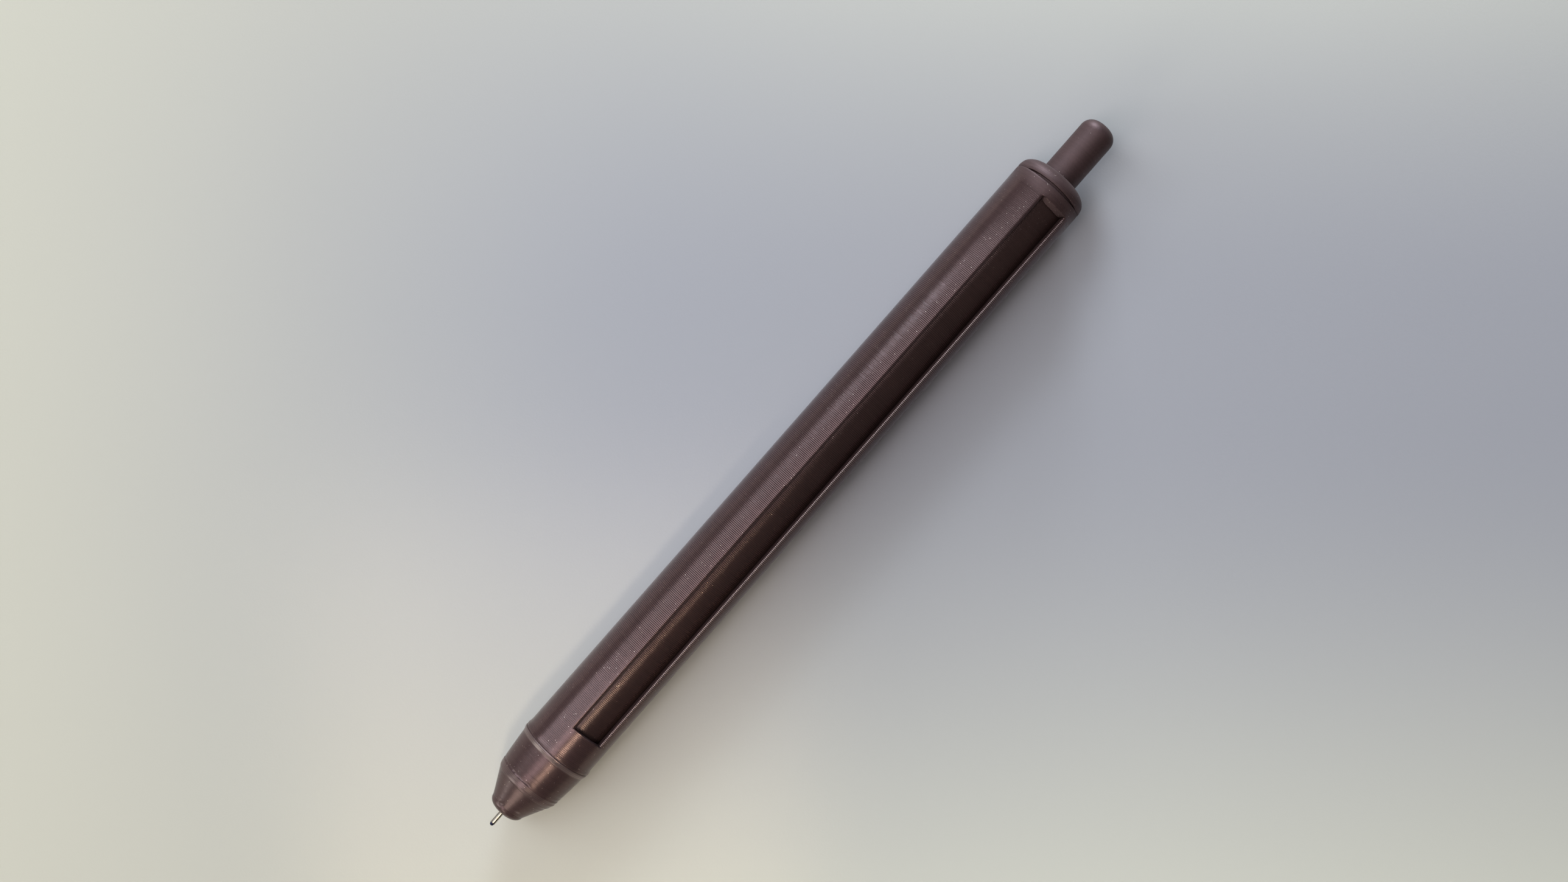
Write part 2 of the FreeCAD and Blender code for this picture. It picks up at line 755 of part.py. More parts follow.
def check_and_write():
    """Stops at any failed object or bad shape, and otherwise writes one file for each piece."""
    doc.recompute()
    for thing in doc.Objects:
        if {"Invalid", "Error"} & set(thing.State):
            raise RuntimeError(f"{thing.Name} failed: {thing.State}")
    for piece in pieces:
        shape = piece.Shape
        if shape.isNull() or not shape.isValid() or not shape.Solids:
            raise RuntimeError(f"{piece.Label} has no valid solid")
    os.makedirs("parts", exist_ok=True)
    for piece in pieces:
        shape = piece.Shape
        shape.exportStep(f"parts/{piece.Label}.step")
        box = shape.BoundBox
        print(
            f"{piece.Label}: {len(shape.Solids)} solid, {shape.Volume:.3f} mm3, "
            f"x {box.XMin:.2f} to {box.XMax:.2f}, z {box.ZMin:.2f} to {box.ZMax:.2f}"
        )


fill_sheet()
make_outer_barrel()
make_inner_tube()
make_nose_cone()
make_end_cap()
make_cam_sleeve()
make_plunger()
make_rotor()
make_refill_plug()
make_refill_tube()
make_ink()
make_tip_holder()
make_tip_cone()
make_needle()
make_return_spring()
check_and_write()
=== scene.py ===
# %% [markdown]
# # A push-button pen printed in brown metallic PLA
# The CAD model gives every size and every joint. This notebook dresses it: it swaps the plain
# printed shells for ones that show their layers, and the needle for a rounder one. It gives
# every piece a material, and sets up a floor, soft lamps and a camera straight above. First
# the imported model is loaded.

import math

import bmesh
import bpy
import numpy as np
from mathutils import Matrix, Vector


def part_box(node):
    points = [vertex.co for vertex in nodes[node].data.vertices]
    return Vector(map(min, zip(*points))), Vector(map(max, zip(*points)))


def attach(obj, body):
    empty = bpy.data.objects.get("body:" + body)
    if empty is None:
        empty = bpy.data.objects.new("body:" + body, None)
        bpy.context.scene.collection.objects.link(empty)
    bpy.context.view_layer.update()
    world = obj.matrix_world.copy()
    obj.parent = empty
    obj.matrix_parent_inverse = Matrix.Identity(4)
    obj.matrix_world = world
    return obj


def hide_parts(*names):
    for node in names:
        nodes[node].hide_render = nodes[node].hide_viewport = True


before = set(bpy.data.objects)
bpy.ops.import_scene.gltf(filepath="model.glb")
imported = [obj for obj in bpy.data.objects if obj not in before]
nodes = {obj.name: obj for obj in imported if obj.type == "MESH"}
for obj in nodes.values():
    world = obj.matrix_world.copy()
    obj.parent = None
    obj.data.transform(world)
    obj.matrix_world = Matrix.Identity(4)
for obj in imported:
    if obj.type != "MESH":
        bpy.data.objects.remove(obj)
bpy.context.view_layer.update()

# %% [markdown]
# Sizes are easiest to think about in millimetres, while Blender works in metres. The pen lies
# along X with its axis a little above the floor. Its window looks up and to one side, so points
# on the pen are given in the window's own directions: x along the pen, `across` the window, and
# `out` through the middle of the window. One function turns those into Blender's coordinates.

# %% Places on the pen
MM = 0.001
AXIS_HEIGHT = 6.54
WINDOW_TURN = math.radians(25.75)


def on_pen(x, across, out, skin=0.0, paleness_and_highlight=0.0):
    """Points of the pen in metres. Two more numbers say how strongly the layers show at each point,
    and how pale the plastic is there. On the nose's lip, the cap's ring and the window's row of
    beads that paleness is a painted highlight."""
    x, across, out, skin, paleness_and_highlight = np.broadcast_arrays(x, across, out, skin, paleness_and_highlight)
    y = -across * math.cos(WINDOW_TURN) - out * math.sin(WINDOW_TURN)
    z = AXIS_HEIGHT - across * math.sin(WINDOW_TURN) + out * math.cos(WINDOW_TURN)
    return np.stack([x * MM, y * MM, z * MM, skin, paleness_and_highlight], axis=-1)


low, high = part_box("outer_barrel")
BARREL_FRONT = low.x / MM
BARREL_REAR = high.x / MM
print("barrel from", round(BARREL_FRONT, 3), "to", round(BARREL_REAR, 3), "mm")

# %% [markdown]
# Colours are written as sRGB hex values, because that is what colour pickers and photographs
# give. Blender's shaders want linear values, so one function converts them. Node trees, for
# materials and for geometry alike, are built with one small helper: it adds a node, applies its
# settings, and then fills its inputs with plain values or with links from other nodes.

# %% Colour and node helpers
def srgb(hex_colour):
    """A linear RGBA colour from an sRGB hex string."""
    channels = [int(hex_colour[i:i + 2], 16) / 255 for i in (1, 3, 5)]
    return [c / 12.92 if c <= 0.04045 else ((c + 0.055) / 1.055) ** 2.4 for c in channels] + [1.0]


def add(tree, kind, inputs=None, **settings):
    """A new node with its settings. Each input is a plain value or a socket to link from."""
    node = tree.nodes.new(kind)
    for name, value in settings.items():
        setattr(node, name, value)
    for key, value in (inputs or {}).items():
        socket = node.inputs[key]
        if isinstance(value, bpy.types.NodeSocket):
            tree.links.new(value, socket)
        else:
            socket.default_value = value
    return node


print("middle grey #808080 in linear light:", round(srgb("#808080")[0], 3))

# %% [markdown]
# ## Camera
# The photograph was taken from straight above, about 29 cm over the pen, with the pen running
# from the lower left to the upper right. The camera therefore looks down and is only turned
# about the vertical. Its lens gives 10 pixels a millimetre at the pen's axis in a 2576-pixel
# picture. Such a near camera is also what makes the ring of the nose's lip look bent.

# %% Camera
CAMERA_PLACE = (2.81, 5.4, 301.5)
CAMERA_TURN = math.radians(48.70)
FOCAL_LENGTH = 41.447

camera_data = bpy.data.cameras.new("camera")
camera_data.sensor_width = 36.0
camera_data.lens = FOCAL_LENGTH
camera_data.clip_start = 0.01
camera = bpy.data.objects.new("camera", camera_data)
camera.location = [v * MM for v in CAMERA_PLACE]
camera.rotation_euler = (0.0, 0.0, -CAMERA_TURN)
bpy.context.scene.collection.objects.link(camera)
bpy.context.scene.camera = camera
print("camera", round(camera.location.z / MM), "mm above the floor")

# %% [markdown]
# ## Floor and light
# The pen lies on a pale, matt, slightly grainy surface such as a painted shelf. One wide cool
# lamp stands over the far long side, like a window: it makes the broad mauve band along the
# pen and the shadow on the near side. Two lamps over the writing end and one from its side
# light the front and the nose's cone, and a strong one from the far corner lights the button.
# A small warm lamp behind a honeycomb hangs close to the writing end and gives its golden
# stripe. A dim even world fills the rest. An image of a room could light the pen as well, but
# lamps can be matched one by one: each was rendered alone, and the powers are the mix of those
# renders that comes nearest to the photograph.

# %% World
ROOM_LIGHT = 0.10
scene = bpy.context.scene
scene.view_settings.view_transform = "Standard"
world = bpy.data.worlds.new("room")
world.use_nodes = True
scene.world = world
room = world.node_tree.nodes["Background"]
room.inputs["Color"].default_value = srgb("#f2efef")
room.inputs["Strength"].default_value = ROOM_LIGHT
print("world strength", ROOM_LIGHT)


# %% Lamps
def soft_lamp(name, place, aim, size, watts, hex_colour, spread=180):
    """A rectangular lamp at a place, turned towards an aim, both in millimetres. A small spread in
    degrees stands for a honeycomb in front of it, which keeps its light in one spot."""
    data = bpy.data.lights.new(name, "AREA")
    data.shape = "RECTANGLE"
    data.size = size[0] * MM
    data.size_y = size[1] * MM
    data.energy = watts
    data.color = srgb(hex_colour)[:3]
    data.spread = math.radians(spread)
    lamp = bpy.data.objects.new(name, data)
    lamp.location = np.array(place) * MM
    direction = Vector(np.array(aim) * MM - np.array(place) * MM)
    lamp.rotation_euler = direction.to_track_quat("-Z", "X").to_euler()
    scene.collection.objects.link(lamp)
    return lamp


def overhead(tilt, lean, distance):
    """A place over the pen, so many degrees from the zenith towards +Y and then towards +X."""
    tilt = math.radians(tilt)
    lean = math.radians(lean)
    direction = [math.sin(lean), math.sin(tilt) * math.cos(lean), math.cos(tilt) * math.cos(lean)]
    return distance * np.array(direction)


soft_lamp("window_light", overhead(35, -4, 750), (0, 0, 0), (800, 340), 3.40, "#ebf6ff")
soft_lamp("warm_lamp", (-111, -47, 150), (-62, 0, 6), (80, 80), 0.0050, "#fff2d6", spread=16)
soft_lamp("front_light", overhead(8, -25, 700), (-60, 0, 0), (720, 200), 1.58, "#fff7fb")
soft_lamp("low_front_light", overhead(0, -68, 700), (-60, 0, 0), (300, 220), 0.75, "#fffeed")
soft_lamp("side_light", overhead(60, -50, 750), (0, 0, 0), (400, 250), 1.28, "#f2fff9")
soft_lamp("corner_light", overhead(66, 50, 750), (0, 0, 0), (280, 200), 6.56, "#e1f0ff")

# %% [markdown]
# Painted board is matt with a fine tooth. Its colour is a warm pale grey that isn't the same all
# over, and its changes are painted light and shadow: it grows lighter from left to right, and a
# faint lilac painted shadow, wider than the pen is long, lies under the pen and beside its rear
# half, and fades towards the writing end and towards the near side. These slow changes follow
# the picture's own edges, so the coordinates are turned like the camera.
# A painted image could show the painted shadow, but a few smooth steps between three colours do it
# with nothing but numbers, at any resolution. Far from the pen, where the lamps would leave
# bright and dark patches, the camera sees the floor fade into one pale tone. Light Path does
# that for camera rays alone: no light is added.

# %% Floor
FLOOR_MIDDLE = (0.0022, -0.0057, 0.0)  # brings the middle of the picture to zero, in metres
FADE_START, FADE_END = 220.0, 520.0  # where the floor fades into the room, in mm from the pen's middle
PALE_ROOM = "#c3c3c1"
PALER_RIGHT = (-87.0, 68.0)  # painted light: from the darker left to the lighter right, in mm of the picture
SHADOW_LEFT = (-160.0, -15.0)  # painted shadow: where it comes in from the left
SHADOW_EDGES = ((-125.0, 6.0), (145.0, 21.0))  # where the painted shadow comes in from the bottom and the top
GRAIN_SCALE = 2500.0  # grains of about 0.4 mm
MOTTLE_SCALE = 12.0  # clouds of about 8 cm


def slow_change(tree, value, start, end):
    """A share that goes smoothly from 0 to 1 between two places given in millimetres."""
    step = add(
        tree, "ShaderNodeMapRange", {"Value": value, 1: start * MM, 2: end * MM, 3: 0.0, 4: 1.0},
        interpolation_type="SMOOTHSTEP",
    )
    return step.outputs[0]


def blend(tree, share, first, second):
    """A mix of two colours, each a socket or a plain value."""
    mixed = add(tree, "ShaderNodeMix", {"Factor": share, "A": first, "B": second}, data_type="RGBA")
    return mixed.outputs["Result"]


def painted_board():
    """Matt pale paint on board, rolled on: low gloss, a fine grain of 0.4 mm."""
    material = bpy.data.materials.new("painted_board")
    material.use_nodes = True
    tree = material.node_tree
    shader = tree.nodes["Principled BSDF"]
    place = add(tree, "ShaderNodeTexCoord").outputs["Object"]
    picture = add(
        tree, "ShaderNodeMapping",
        {"Vector": place, "Rotation": (0.0, 0.0, CAMERA_TURN), "Location": FLOOR_MIDDLE},
    ).outputs[0]
    sides = add(tree, "ShaderNodeSeparateXYZ", {0: picture})
    rightwards = slow_change(tree, sides.outputs["X"], *PALER_RIGHT)
    shadowed = slow_change(tree, sides.outputs["X"], *SHADOW_LEFT)
    for start, end in SHADOW_EDGES:
        edge = slow_change(tree, sides.outputs["Y"], start, end)
        shadowed = add(tree, "ShaderNodeMath", {0: shadowed, 1: edge}, operation="MULTIPLY").outputs[0]
    # Painted light and shadow: the colour grows lighter to the right, and a lilac painted shadow is mixed in
    # under the pen and beside its rear half.
    colour = blend(tree, rightwards, srgb("#c6c0af"), srgb("#eae5cf"))
    colour = blend(tree, shadowed, colour, srgb("#a5a3a7"))
    grain = add(tree, "ShaderNodeTexNoise", {"Vector": place, "Scale": GRAIN_SCALE, "Detail": 2.0})
    mottle = add(tree, "ShaderNodeTexNoise", {"Vector": place, "Scale": MOTTLE_SCALE, "Detail": 2.0})
    shade = add(
        tree, "ShaderNodeMath", {0: mottle.outputs["Fac"], 1: 0.04, 2: 0.98}, operation="MULTIPLY_ADD",
    )
    colour = add(
        tree, "ShaderNodeMix", {"Factor": 1.0, "A": colour, "B": shade.outputs[0]},
        data_type="RGBA", blend_type="MULTIPLY",
    ).outputs["Result"]
    bump = add(
        tree, "ShaderNodeBump",
        {"Height": grain.outputs["Fac"], "Strength": 0.25, "Distance": 0.05 * MM},
    )
    tree.links.new(colour, shader.inputs["Base Color"])
    tree.links.new(bump.outputs["Normal"], shader.inputs["Normal"])
    shader.inputs["Roughness"].default_value = 0.75
    shader.inputs["Specular IOR Level"].default_value = 0.2
    away = add(tree, "ShaderNodeVectorMath", {0: place}, operation="LENGTH")
    distant = slow_change(tree, away.outputs["Value"], FADE_START, FADE_END)
    seen = add(tree, "ShaderNodeLightPath").outputs["Is Camera Ray"]
    pale = add(tree, "ShaderNodeEmission", {"Color": srgb(PALE_ROOM)})
    veil = add(tree, "ShaderNodeMath", {0: distant, 1: seen}, operation="MULTIPLY")
    mixed = add(
        tree, "ShaderNodeMixShader", {0: veil.outputs[0], 1: shader.outputs[0], 2: pale.outputs[0]},
    )
    tree.links.new(mixed.outputs[0], tree.nodes["Material Output"].inputs["Surface"])
    return material


FLOOR_HALF = 1.5  # metres
floor_mesh = bpy.data.meshes.new("floor")
floor_mesh.from_pydata(
    [(-FLOOR_HALF, -FLOOR_HALF, 0), (FLOOR_HALF, -FLOOR_HALF, 0),
     (FLOOR_HALF, FLOOR_HALF, 0), (-FLOOR_HALF, FLOOR_HALF, 0)],
    [], [(0, 1, 2, 3)],
)
floor_mesh.materials.append(painted_board())
floor = bpy.data.objects.new("floor", floor_mesh)
scene.collection.objects.link(floor)
print("floor", 2 * FLOOR_HALF, "m square")

# %% [markdown]
# ## Printed plastic
# The pen is printed in a brown PLA filled with fine metallic flakes. PLA is a hard plastic with
# an IOR of 1.46. The flakes lie along the surface, so the plastic looks half metallic: a broad
# soft sheen rather than a hard gloss, and tiny sparks where one flake faces the lamp. Each
# printed layer cools a little differently, so the tone changes slightly from layer to layer.

# %% Printed PLA
LAYER = 0.28
FLAKE = 0.12  # real flakes are about 0.05 mm; drawn coarser, so that they show
CLOUD_SCALE = 300.0  # clouds of about 3 mm
SPECKLE_SCALE = 5000.0  # specks of 0.2 mm; the real ones are finer, and these are as fine as shows
BASE_TONE = 0.63  # layers, clouds, specks and beads are added to it
LEAST_LAYER = 0.12  # below this `skin` the layers are hardly there


def flaked_pla(name, hex_plastic, roughness, matt=None, flake_share=0.008, bead_shading=1.7):
    """PLA with metallic flakes, laid down in layers by a hot nozzle. With matt given, the gloss falls
    to that roughness where the layers don't show, as in bores and on smeared strands. The bead
    shading says how strongly painted shade darkens the grooves between two layers and a painted
    highlight lightens their crests."""
    material = bpy.data.materials.new(name)
    material.use_nodes = True
    tree = material.node_tree
    shader = tree.nodes["Principled BSDF"]
    place = add(tree, "ShaderNodeTexCoord").outputs["Object"]
    x = add(tree, "ShaderNodeSeparateXYZ", {0: place}).outputs["X"]
    layer = add(tree, "ShaderNodeMath", {0: x, 1: LAYER * MM}, operation="DIVIDE")
    number = add(tree, "ShaderNodeMath", {0: layer.outputs[0]}, operation="FLOOR")
    layer_tone = add(tree, "ShaderNodeTexWhiteNoise", {"W": number.outputs[0]}, noise_dimensions="1D")
    cloud = add(tree, "ShaderNodeTexNoise", {"Vector": place, "Scale": CLOUD_SCALE, "Detail": 3.0})
    speckle = add(tree, "ShaderNodeTexNoise", {"Vector": place, "Scale": SPECKLE_SCALE, "Detail": 1.0})
    # The bead term paints shade into the grooves between layers and a highlight onto their crests.
    bead = add(tree, "ShaderNodeAttribute", attribute_name="bead")
    tone = BASE_TONE
    for source, share in (
        (layer_tone.outputs["Value"], 0.10), (cloud.outputs["Fac"], 0.24),
        (speckle.outputs["Fac"], 0.40), (bead.outputs["Fac"], bead_shading),
    ):
        tone = add(
            tree, "ShaderNodeMath", {0: source, 1: share, 2: tone}, operation="MULTIPLY_ADD",
        ).outputs[0]
    plastic = add(
        tree, "ShaderNodeMix", {"Factor": 1.0, "A": srgb(hex_plastic), "B": tone},
        data_type="RGBA", blend_type="MULTIPLY",
    )
    colour = plastic.outputs["Result"]
    # Paleness goes on the crests of the layers only. On the nose's lip, the cap's ring and the row of beads
    # it is a painted highlight.
    if matt is not None:
        paleness_and_highlight = add(tree, "ShaderNodeAttribute", attribute_name="paleness_and_highlight")
        crest = add(
            tree, "ShaderNodeMapRange", {"Value": bead.outputs["Fac"], 1: -0.3, 2: 0.3, 3: 0.0, 4: 1.0},
        )
        pale_crests = add(
            tree, "ShaderNodeMath", {0: paleness_and_highlight.outputs["Fac"], 1: crest.outputs[0]}, operation="MULTIPLY",
        )
        pale = add(
            tree, "ShaderNodeMix",
            {"Factor": pale_crests.outputs[0], "A": colour, "B": srgb("#a08e8a")},
            data_type="RGBA",
        )
        colour = pale.outputs["Result"]
    flakes = add(tree, "ShaderNodeTexVoronoi", {"Vector": place, "Scale": 1 / (FLAKE * MM)})
    lot = add(tree, "ShaderNodeSeparateColor", {0: flakes.outputs["Color"]})
    chosen = add(tree, "ShaderNodeMath", {0: lot.outputs[0], 1: flake_share}, operation="LESS_THAN")
    middle = add(tree, "ShaderNodeMath", {0: flakes.outputs["Distance"], 1: 0.38}, operation="LESS_THAN")
    drawn = add(tree, "ShaderNodeMath", {0: chosen.outputs[0], 1: middle.outputs[0]}, operation="MULTIPLY")
    sparkling = add(
        tree, "ShaderNodeMix",
        {"Factor": drawn.outputs[0], "A": colour, "B": srgb("#c9b8ae")},
        data_type="RGBA",
    )
    shine = add(tree, "ShaderNodeMath", {0: drawn.outputs[0], 1: 0.45, 2: 0.55}, operation="MULTIPLY_ADD")
    bump = add(
        tree, "ShaderNodeBump",
        {"Height": speckle.outputs["Fac"], "Strength": 0.2, "Distance": 0.03 * MM},
    )
    tree.links.new(sparkling.outputs["Result"], shader.inputs["Base Color"])
    tree.links.new(shine.outputs[0], shader.inputs["Metallic"])
    tree.links.new(bump.outputs["Normal"], shader.inputs["Normal"])
    shader.inputs["Roughness"].default_value = roughness
    shader.inputs["IOR"].default_value = 1.46
    if matt is not None:
        skin = add(tree, "ShaderNodeAttribute", attribute_name="skin")
        gloss = add(
            tree, "ShaderNodeMapRange",
            {0: skin.outputs["Fac"], 1: 0.0, 2: LEAST_LAYER, 3: matt, 4: roughness},
        )
        tree.links.new(gloss.outputs[0], shader.inputs["Roughness"])
    return material


BROWN = "#503c3b"
pla_barrel = flaked_pla("layered_pla_barrel", BROWN, 0.24, matt=0.62)
# The inner tube's brown is darker than the barrel's: painted shade for the window's recess.
pla_tube = flaked_pla("layered_pla_tube", "#483532", 0.26, matt=0.62, bead_shading=0.8)
pla_nose = flaked_pla("layered_pla_nose", BROWN, 0.30, matt=0.50, bead_shading=0.6)
pla_cap = flaked_pla("layered_pla_cap", BROWN, 0.58, matt=0.62, bead_shading=0.6)
pla_button = flaked_pla("smooth_pla_button", BROWN, 0.52, flake_share=0.002)
pla_inside = flaked_pla("layered_pla_inside", BROWN, 0.50)
print("plastics:", [m.name for m in bpy.data.materials if "pla_" in m.name])

# %% [markdown]
# ## Layers as geometry
# A melted-plastic printer lays its beads one on another, so a printed wall is a stack of tiny
# rounded ridges, here 0.28 mm apart and square to the pen's axis. That repeats by a rule, so
# Geometry Nodes make it. The smooth shells have two rings of points a layer; the tree leaves
# the ring in a bead's middle where it is and pulls the ring between two beads inwards. A random
# number for each layer, and slow noise along it, make the beads slightly uneven. The attribute
# `skin` says how strongly each point takes part: 0 inside a bore, up to 1 outside, and more on
# the row of beads beside the window. A bump map could fake the ridges, but it would leave the
# pen's edge smooth against the floor, and the exported mesh would have none. The valleys are
# shaded sharp, as two beads meet there.

# %% The layer tree
WANDER_SCALE = 450.0  # the beads wander over about 2 mm


def layer_tree():
    """A Geometry Nodes tree that turns a smooth shell into a stack of printed beads."""
    tree = bpy.data.node_groups.new("printed_layers", "GeometryNodeTree")
    face = tree.interface
    face.new_socket("Geometry", in_out="INPUT", socket_type="NodeSocketGeometry")
    for name in ("Layer height", "First layer", "Groove depth", "Unevenness", "Wander"):
        face.new_socket(name, in_out="INPUT", socket_type="NodeSocketFloat")
    face.new_socket("Seed", in_out="INPUT", socket_type="NodeSocketInt")
    face.new_socket("Plastic", in_out="INPUT", socket_type="NodeSocketMaterial")
    face.new_socket("Geometry", in_out="OUTPUT", socket_type="NodeSocketGeometry")
    given = add(tree, "NodeGroupInput").outputs
    place = add(tree, "GeometryNodeInputPosition").outputs[0]
    x = add(tree, "ShaderNodeSeparateXYZ", {0: place}).outputs["X"]
    along = add(tree, "ShaderNodeMath", {0: x, 1: given["First layer"]}, operation="SUBTRACT")
    layers = add(tree, "ShaderNodeMath", {0: along.outputs[0], 1: given["Layer height"]}, operation="DIVIDE")
    turn = add(tree, "ShaderNodeMath", {0: layers.outputs[0], 1: math.tau}, operation="MULTIPLY")
    wave = add(tree, "ShaderNodeMath", {0: turn.outputs[0]}, operation="COSINE")
    groove = add(tree, "ShaderNodeMath", {0: wave.outputs[0], 1: 0.5, 2: 0.5}, operation="MULTIPLY_ADD")
    bead = add(tree, "ShaderNodeMath", {0: 1.0, 1: groove.outputs[0]}, operation="SUBTRACT")
    number = add(tree, "ShaderNodeMath", {0: layers.outputs[0]}, operation="FLOOR")
    whole = add(tree, "FunctionNodeFloatToInt", {0: number.outputs[0]})
    lot = add(tree, "FunctionNodeRandomValue", {"ID": whole.outputs[0], "Seed": given["Seed"]})
    lot.inputs[2].default_value = -1.0  # so it lies between -1 and 1
    stretch = add(tree, "ShaderNodeVectorMath", {0: place, 1: (4.0, 1.0, 1.0)}, operation="MULTIPLY")
    noise = add(
        tree, "ShaderNodeTexNoise",
        {"Vector": stretch.outputs[0], "Scale": WANDER_SCALE, "Detail": 1.0},
    )
    centred = add(tree, "ShaderNodeMath", {0: noise.outputs[0], 1: 0.5}, operation="SUBTRACT")
    sunk = add(tree, "ShaderNodeMath", {0: groove.outputs[0], 1: given["Groove depth"]}, operation="MULTIPLY")
    uneven = add(tree, "ShaderNodeMath", {0: lot.outputs[1], 1: given["Unevenness"]}, operation="MULTIPLY")
    uneven = add(tree, "ShaderNodeMath", {0: uneven.outputs[0], 1: bead.outputs[0]}, operation="MULTIPLY")
    wander = add(tree, "ShaderNodeMath", {0: centred.outputs[0], 1: given["Wander"]}, operation="MULTIPLY")
    height = add(tree, "ShaderNodeMath", {0: uneven.outputs[0], 1: sunk.outputs[0]}, operation="SUBTRACT")
    height = add(tree, "ShaderNodeMath", {0: height.outputs[0], 1: wander.outputs[0]}, operation="ADD")
    skin = add(tree, "GeometryNodeInputNamedAttribute", {"Name": "skin"}, data_type="FLOAT")
    height = add(tree, "ShaderNodeMath", {0: height.outputs[0], 1: skin.outputs[0]}, operation="MULTIPLY")
    normal = add(tree, "GeometryNodeInputNormal").outputs[0]
    around = add(tree, "ShaderNodeVectorMath", {0: normal, 1: (0.0, 1.0, 1.0)}, operation="MULTIPLY")
    move = add(
        tree, "ShaderNodeVectorMath", {0: around.outputs[0], "Scale": height.outputs[0]},
        operation="SCALE",
    )
    moved = add(
        tree, "GeometryNodeSetPosition", {"Geometry": given["Geometry"], "Offset": move.outputs[0]},
    )
    # The stored bead value lets the plastics paint shade into the grooves and a highlight onto the crests.
    shown = add(tree, "ShaderNodeMath", {0: skin.outputs[0], 1: 1.0}, operation="MINIMUM")
    shade = add(tree, "ShaderNodeMath", {0: bead.outputs[0], 1: 0.5}, operation="SUBTRACT")
    shade = add(tree, "ShaderNodeMath", {0: shade.outputs[0], 1: shown.outputs[0]}, operation="MULTIPLY")
    noted = add(
        tree, "GeometryNodeStoreNamedAttribute",
        {"Geometry": moved.outputs[0], "Name": "bead", "Value": shade.outputs[0]},
        data_type="FLOAT", domain="POINT",
    )
    smooth = add(tree, "GeometryNodeSetShadeSmooth", {"Geometry": noted.outputs[0]})
    deep = add(tree, "ShaderNodeMath", {0: groove.outputs[0], 1: 0.9}, operation="GREATER_THAN")
    layered = add(tree, "ShaderNodeMath", {0: skin.outputs[0], 1: LEAST_LAYER}, operation="GREATER_THAN")
    valley = add(tree, "ShaderNodeMath", {0: deep.outputs[0], 1: layered.outputs[0]}, operation="MULTIPLY")
    creased = add(
        tree, "GeometryNodeSetShadeSmooth",
        {"Geometry": smooth.outputs[0], "Selection": valley.outputs[0], "Shade Smooth": False},
        domain="EDGE",
    )
    real = add(tree, "GeometryNodeRealizeInstances", {"Geometry": creased.outputs[0]})
    painted = add(
        tree, "GeometryNodeSetMaterial", {"Geometry": real.outputs[0], "Material": given["Plastic"]},
    )
    add(tree, "NodeGroupOutput", {0: painted.outputs[0]})
    return tree


printed_layers = layer_tree()
print("layer tree with", len(printed_layers.nodes), "nodes")

# %% [markdown]
# A shell comes as grids of points whose edges meet. Welding the grids gives one closed mesh,
# and because it is closed, its normals can be made to point outwards by themselves. The tree
# then runs on it once, and the result is kept as a plain mesh without a modifier. Kept as a
# live modifier it would do its work again at every change, and the export needs plain meshes.

# %% Weld, then print
SAME_PLACE = 0.0004  # points nearer than this become one
NO_LENGTH = 0.0001
SHARP_CORNER = math.radians(50)


def weld(name, grids):
    """One closed shell from grids of points, rows by columns, with `skin` and the paleness as attributes."""
    points = []
    quads = []
    first = 0
    for grid in grids:
        rows, columns = grid.shape[:2]
        index = first + np.arange(rows * columns).reshape(rows, columns)
        corners_of_quads = [index[:-1, :-1], index[1:, :-1], index[1:, 1:], index[:-1, 1:]]
        quads.append(np.stack(corners_of_quads, -1).reshape(-1, 4))
        points.append(grid.reshape(-1, 5))
        first += rows * columns
    points = np.concatenate(points)
    mesh = bpy.data.meshes.new(name)
    mesh.from_pydata(points[:, :3].tolist(), [], np.concatenate(quads).tolist())
    for column, label in ((3, "skin"), (4, "paleness_and_highlight")):
        values = mesh.attributes.new(label, "FLOAT", "POINT").data
        values.foreach_set("value", points[:, column].astype(np.float32))
    work = bmesh.new()
    work.from_mesh(mesh)
    bmesh.ops.remove_doubles(work, verts=work.verts, dist=SAME_PLACE * MM)
    bmesh.ops.dissolve_degenerate(work, edges=work.edges, dist=NO_LENGTH * MM)
    bmesh.ops.recalc_face_normals(work, faces=work.faces)
    loose = sum(1 for edge in work.edges if len(edge.link_faces) != 2)
    work.to_mesh(mesh)
    work.free()
    mesh.set_sharp_from_angle(angle=SHARP_CORNER)
    print(name, "faces", len(mesh.polygons), "open edges", loose)
    return mesh


def print_shell(name, grids, plastic, first, height, groove, uneven, wander, seed):
    """Welds the grids, runs the layer tree on them and returns the finished piece."""
    blank = bpy.data.objects.new(name + "_blank", weld(name + "_blank", grids))
    scene.collection.objects.link(blank)
    modifier = blank.modifiers.new("layers", "NODES")
    modifier.node_group = printed_layers
    wanted = {
        "Layer height": height * MM, "First layer": first * MM, "Groove depth": groove * MM,
        "Unevenness": uneven * MM, "Wander": wander * MM, "Seed": seed, "Plastic": plastic,
    }
    for item in printed_layers.interface.items_tree:
        if item.in_out == "INPUT" and item.name in wanted:
            modifier[item.identifier] = wanted[item.name]
    evaluated = blank.evaluated_get(bpy.context.evaluated_depsgraph_get())
    mesh = bpy.data.meshes.new_from_object(evaluated)
    mesh.name = name
    blank.modifiers.clear()
    bpy.data.objects.remove(blank)
    piece = bpy.data.objects.new(name, mesh)
    scene.collection.objects.link(piece)
    return piece


def rings(first, last, height):
    """Stations of the rings between two stations, two a layer, and the exact layer height."""
    count = 2 * round((last - first) / height)
    return np.linspace(first, last, count + 1), 2 * (last - first) / count


print("one layer is", LAYER, "mm")

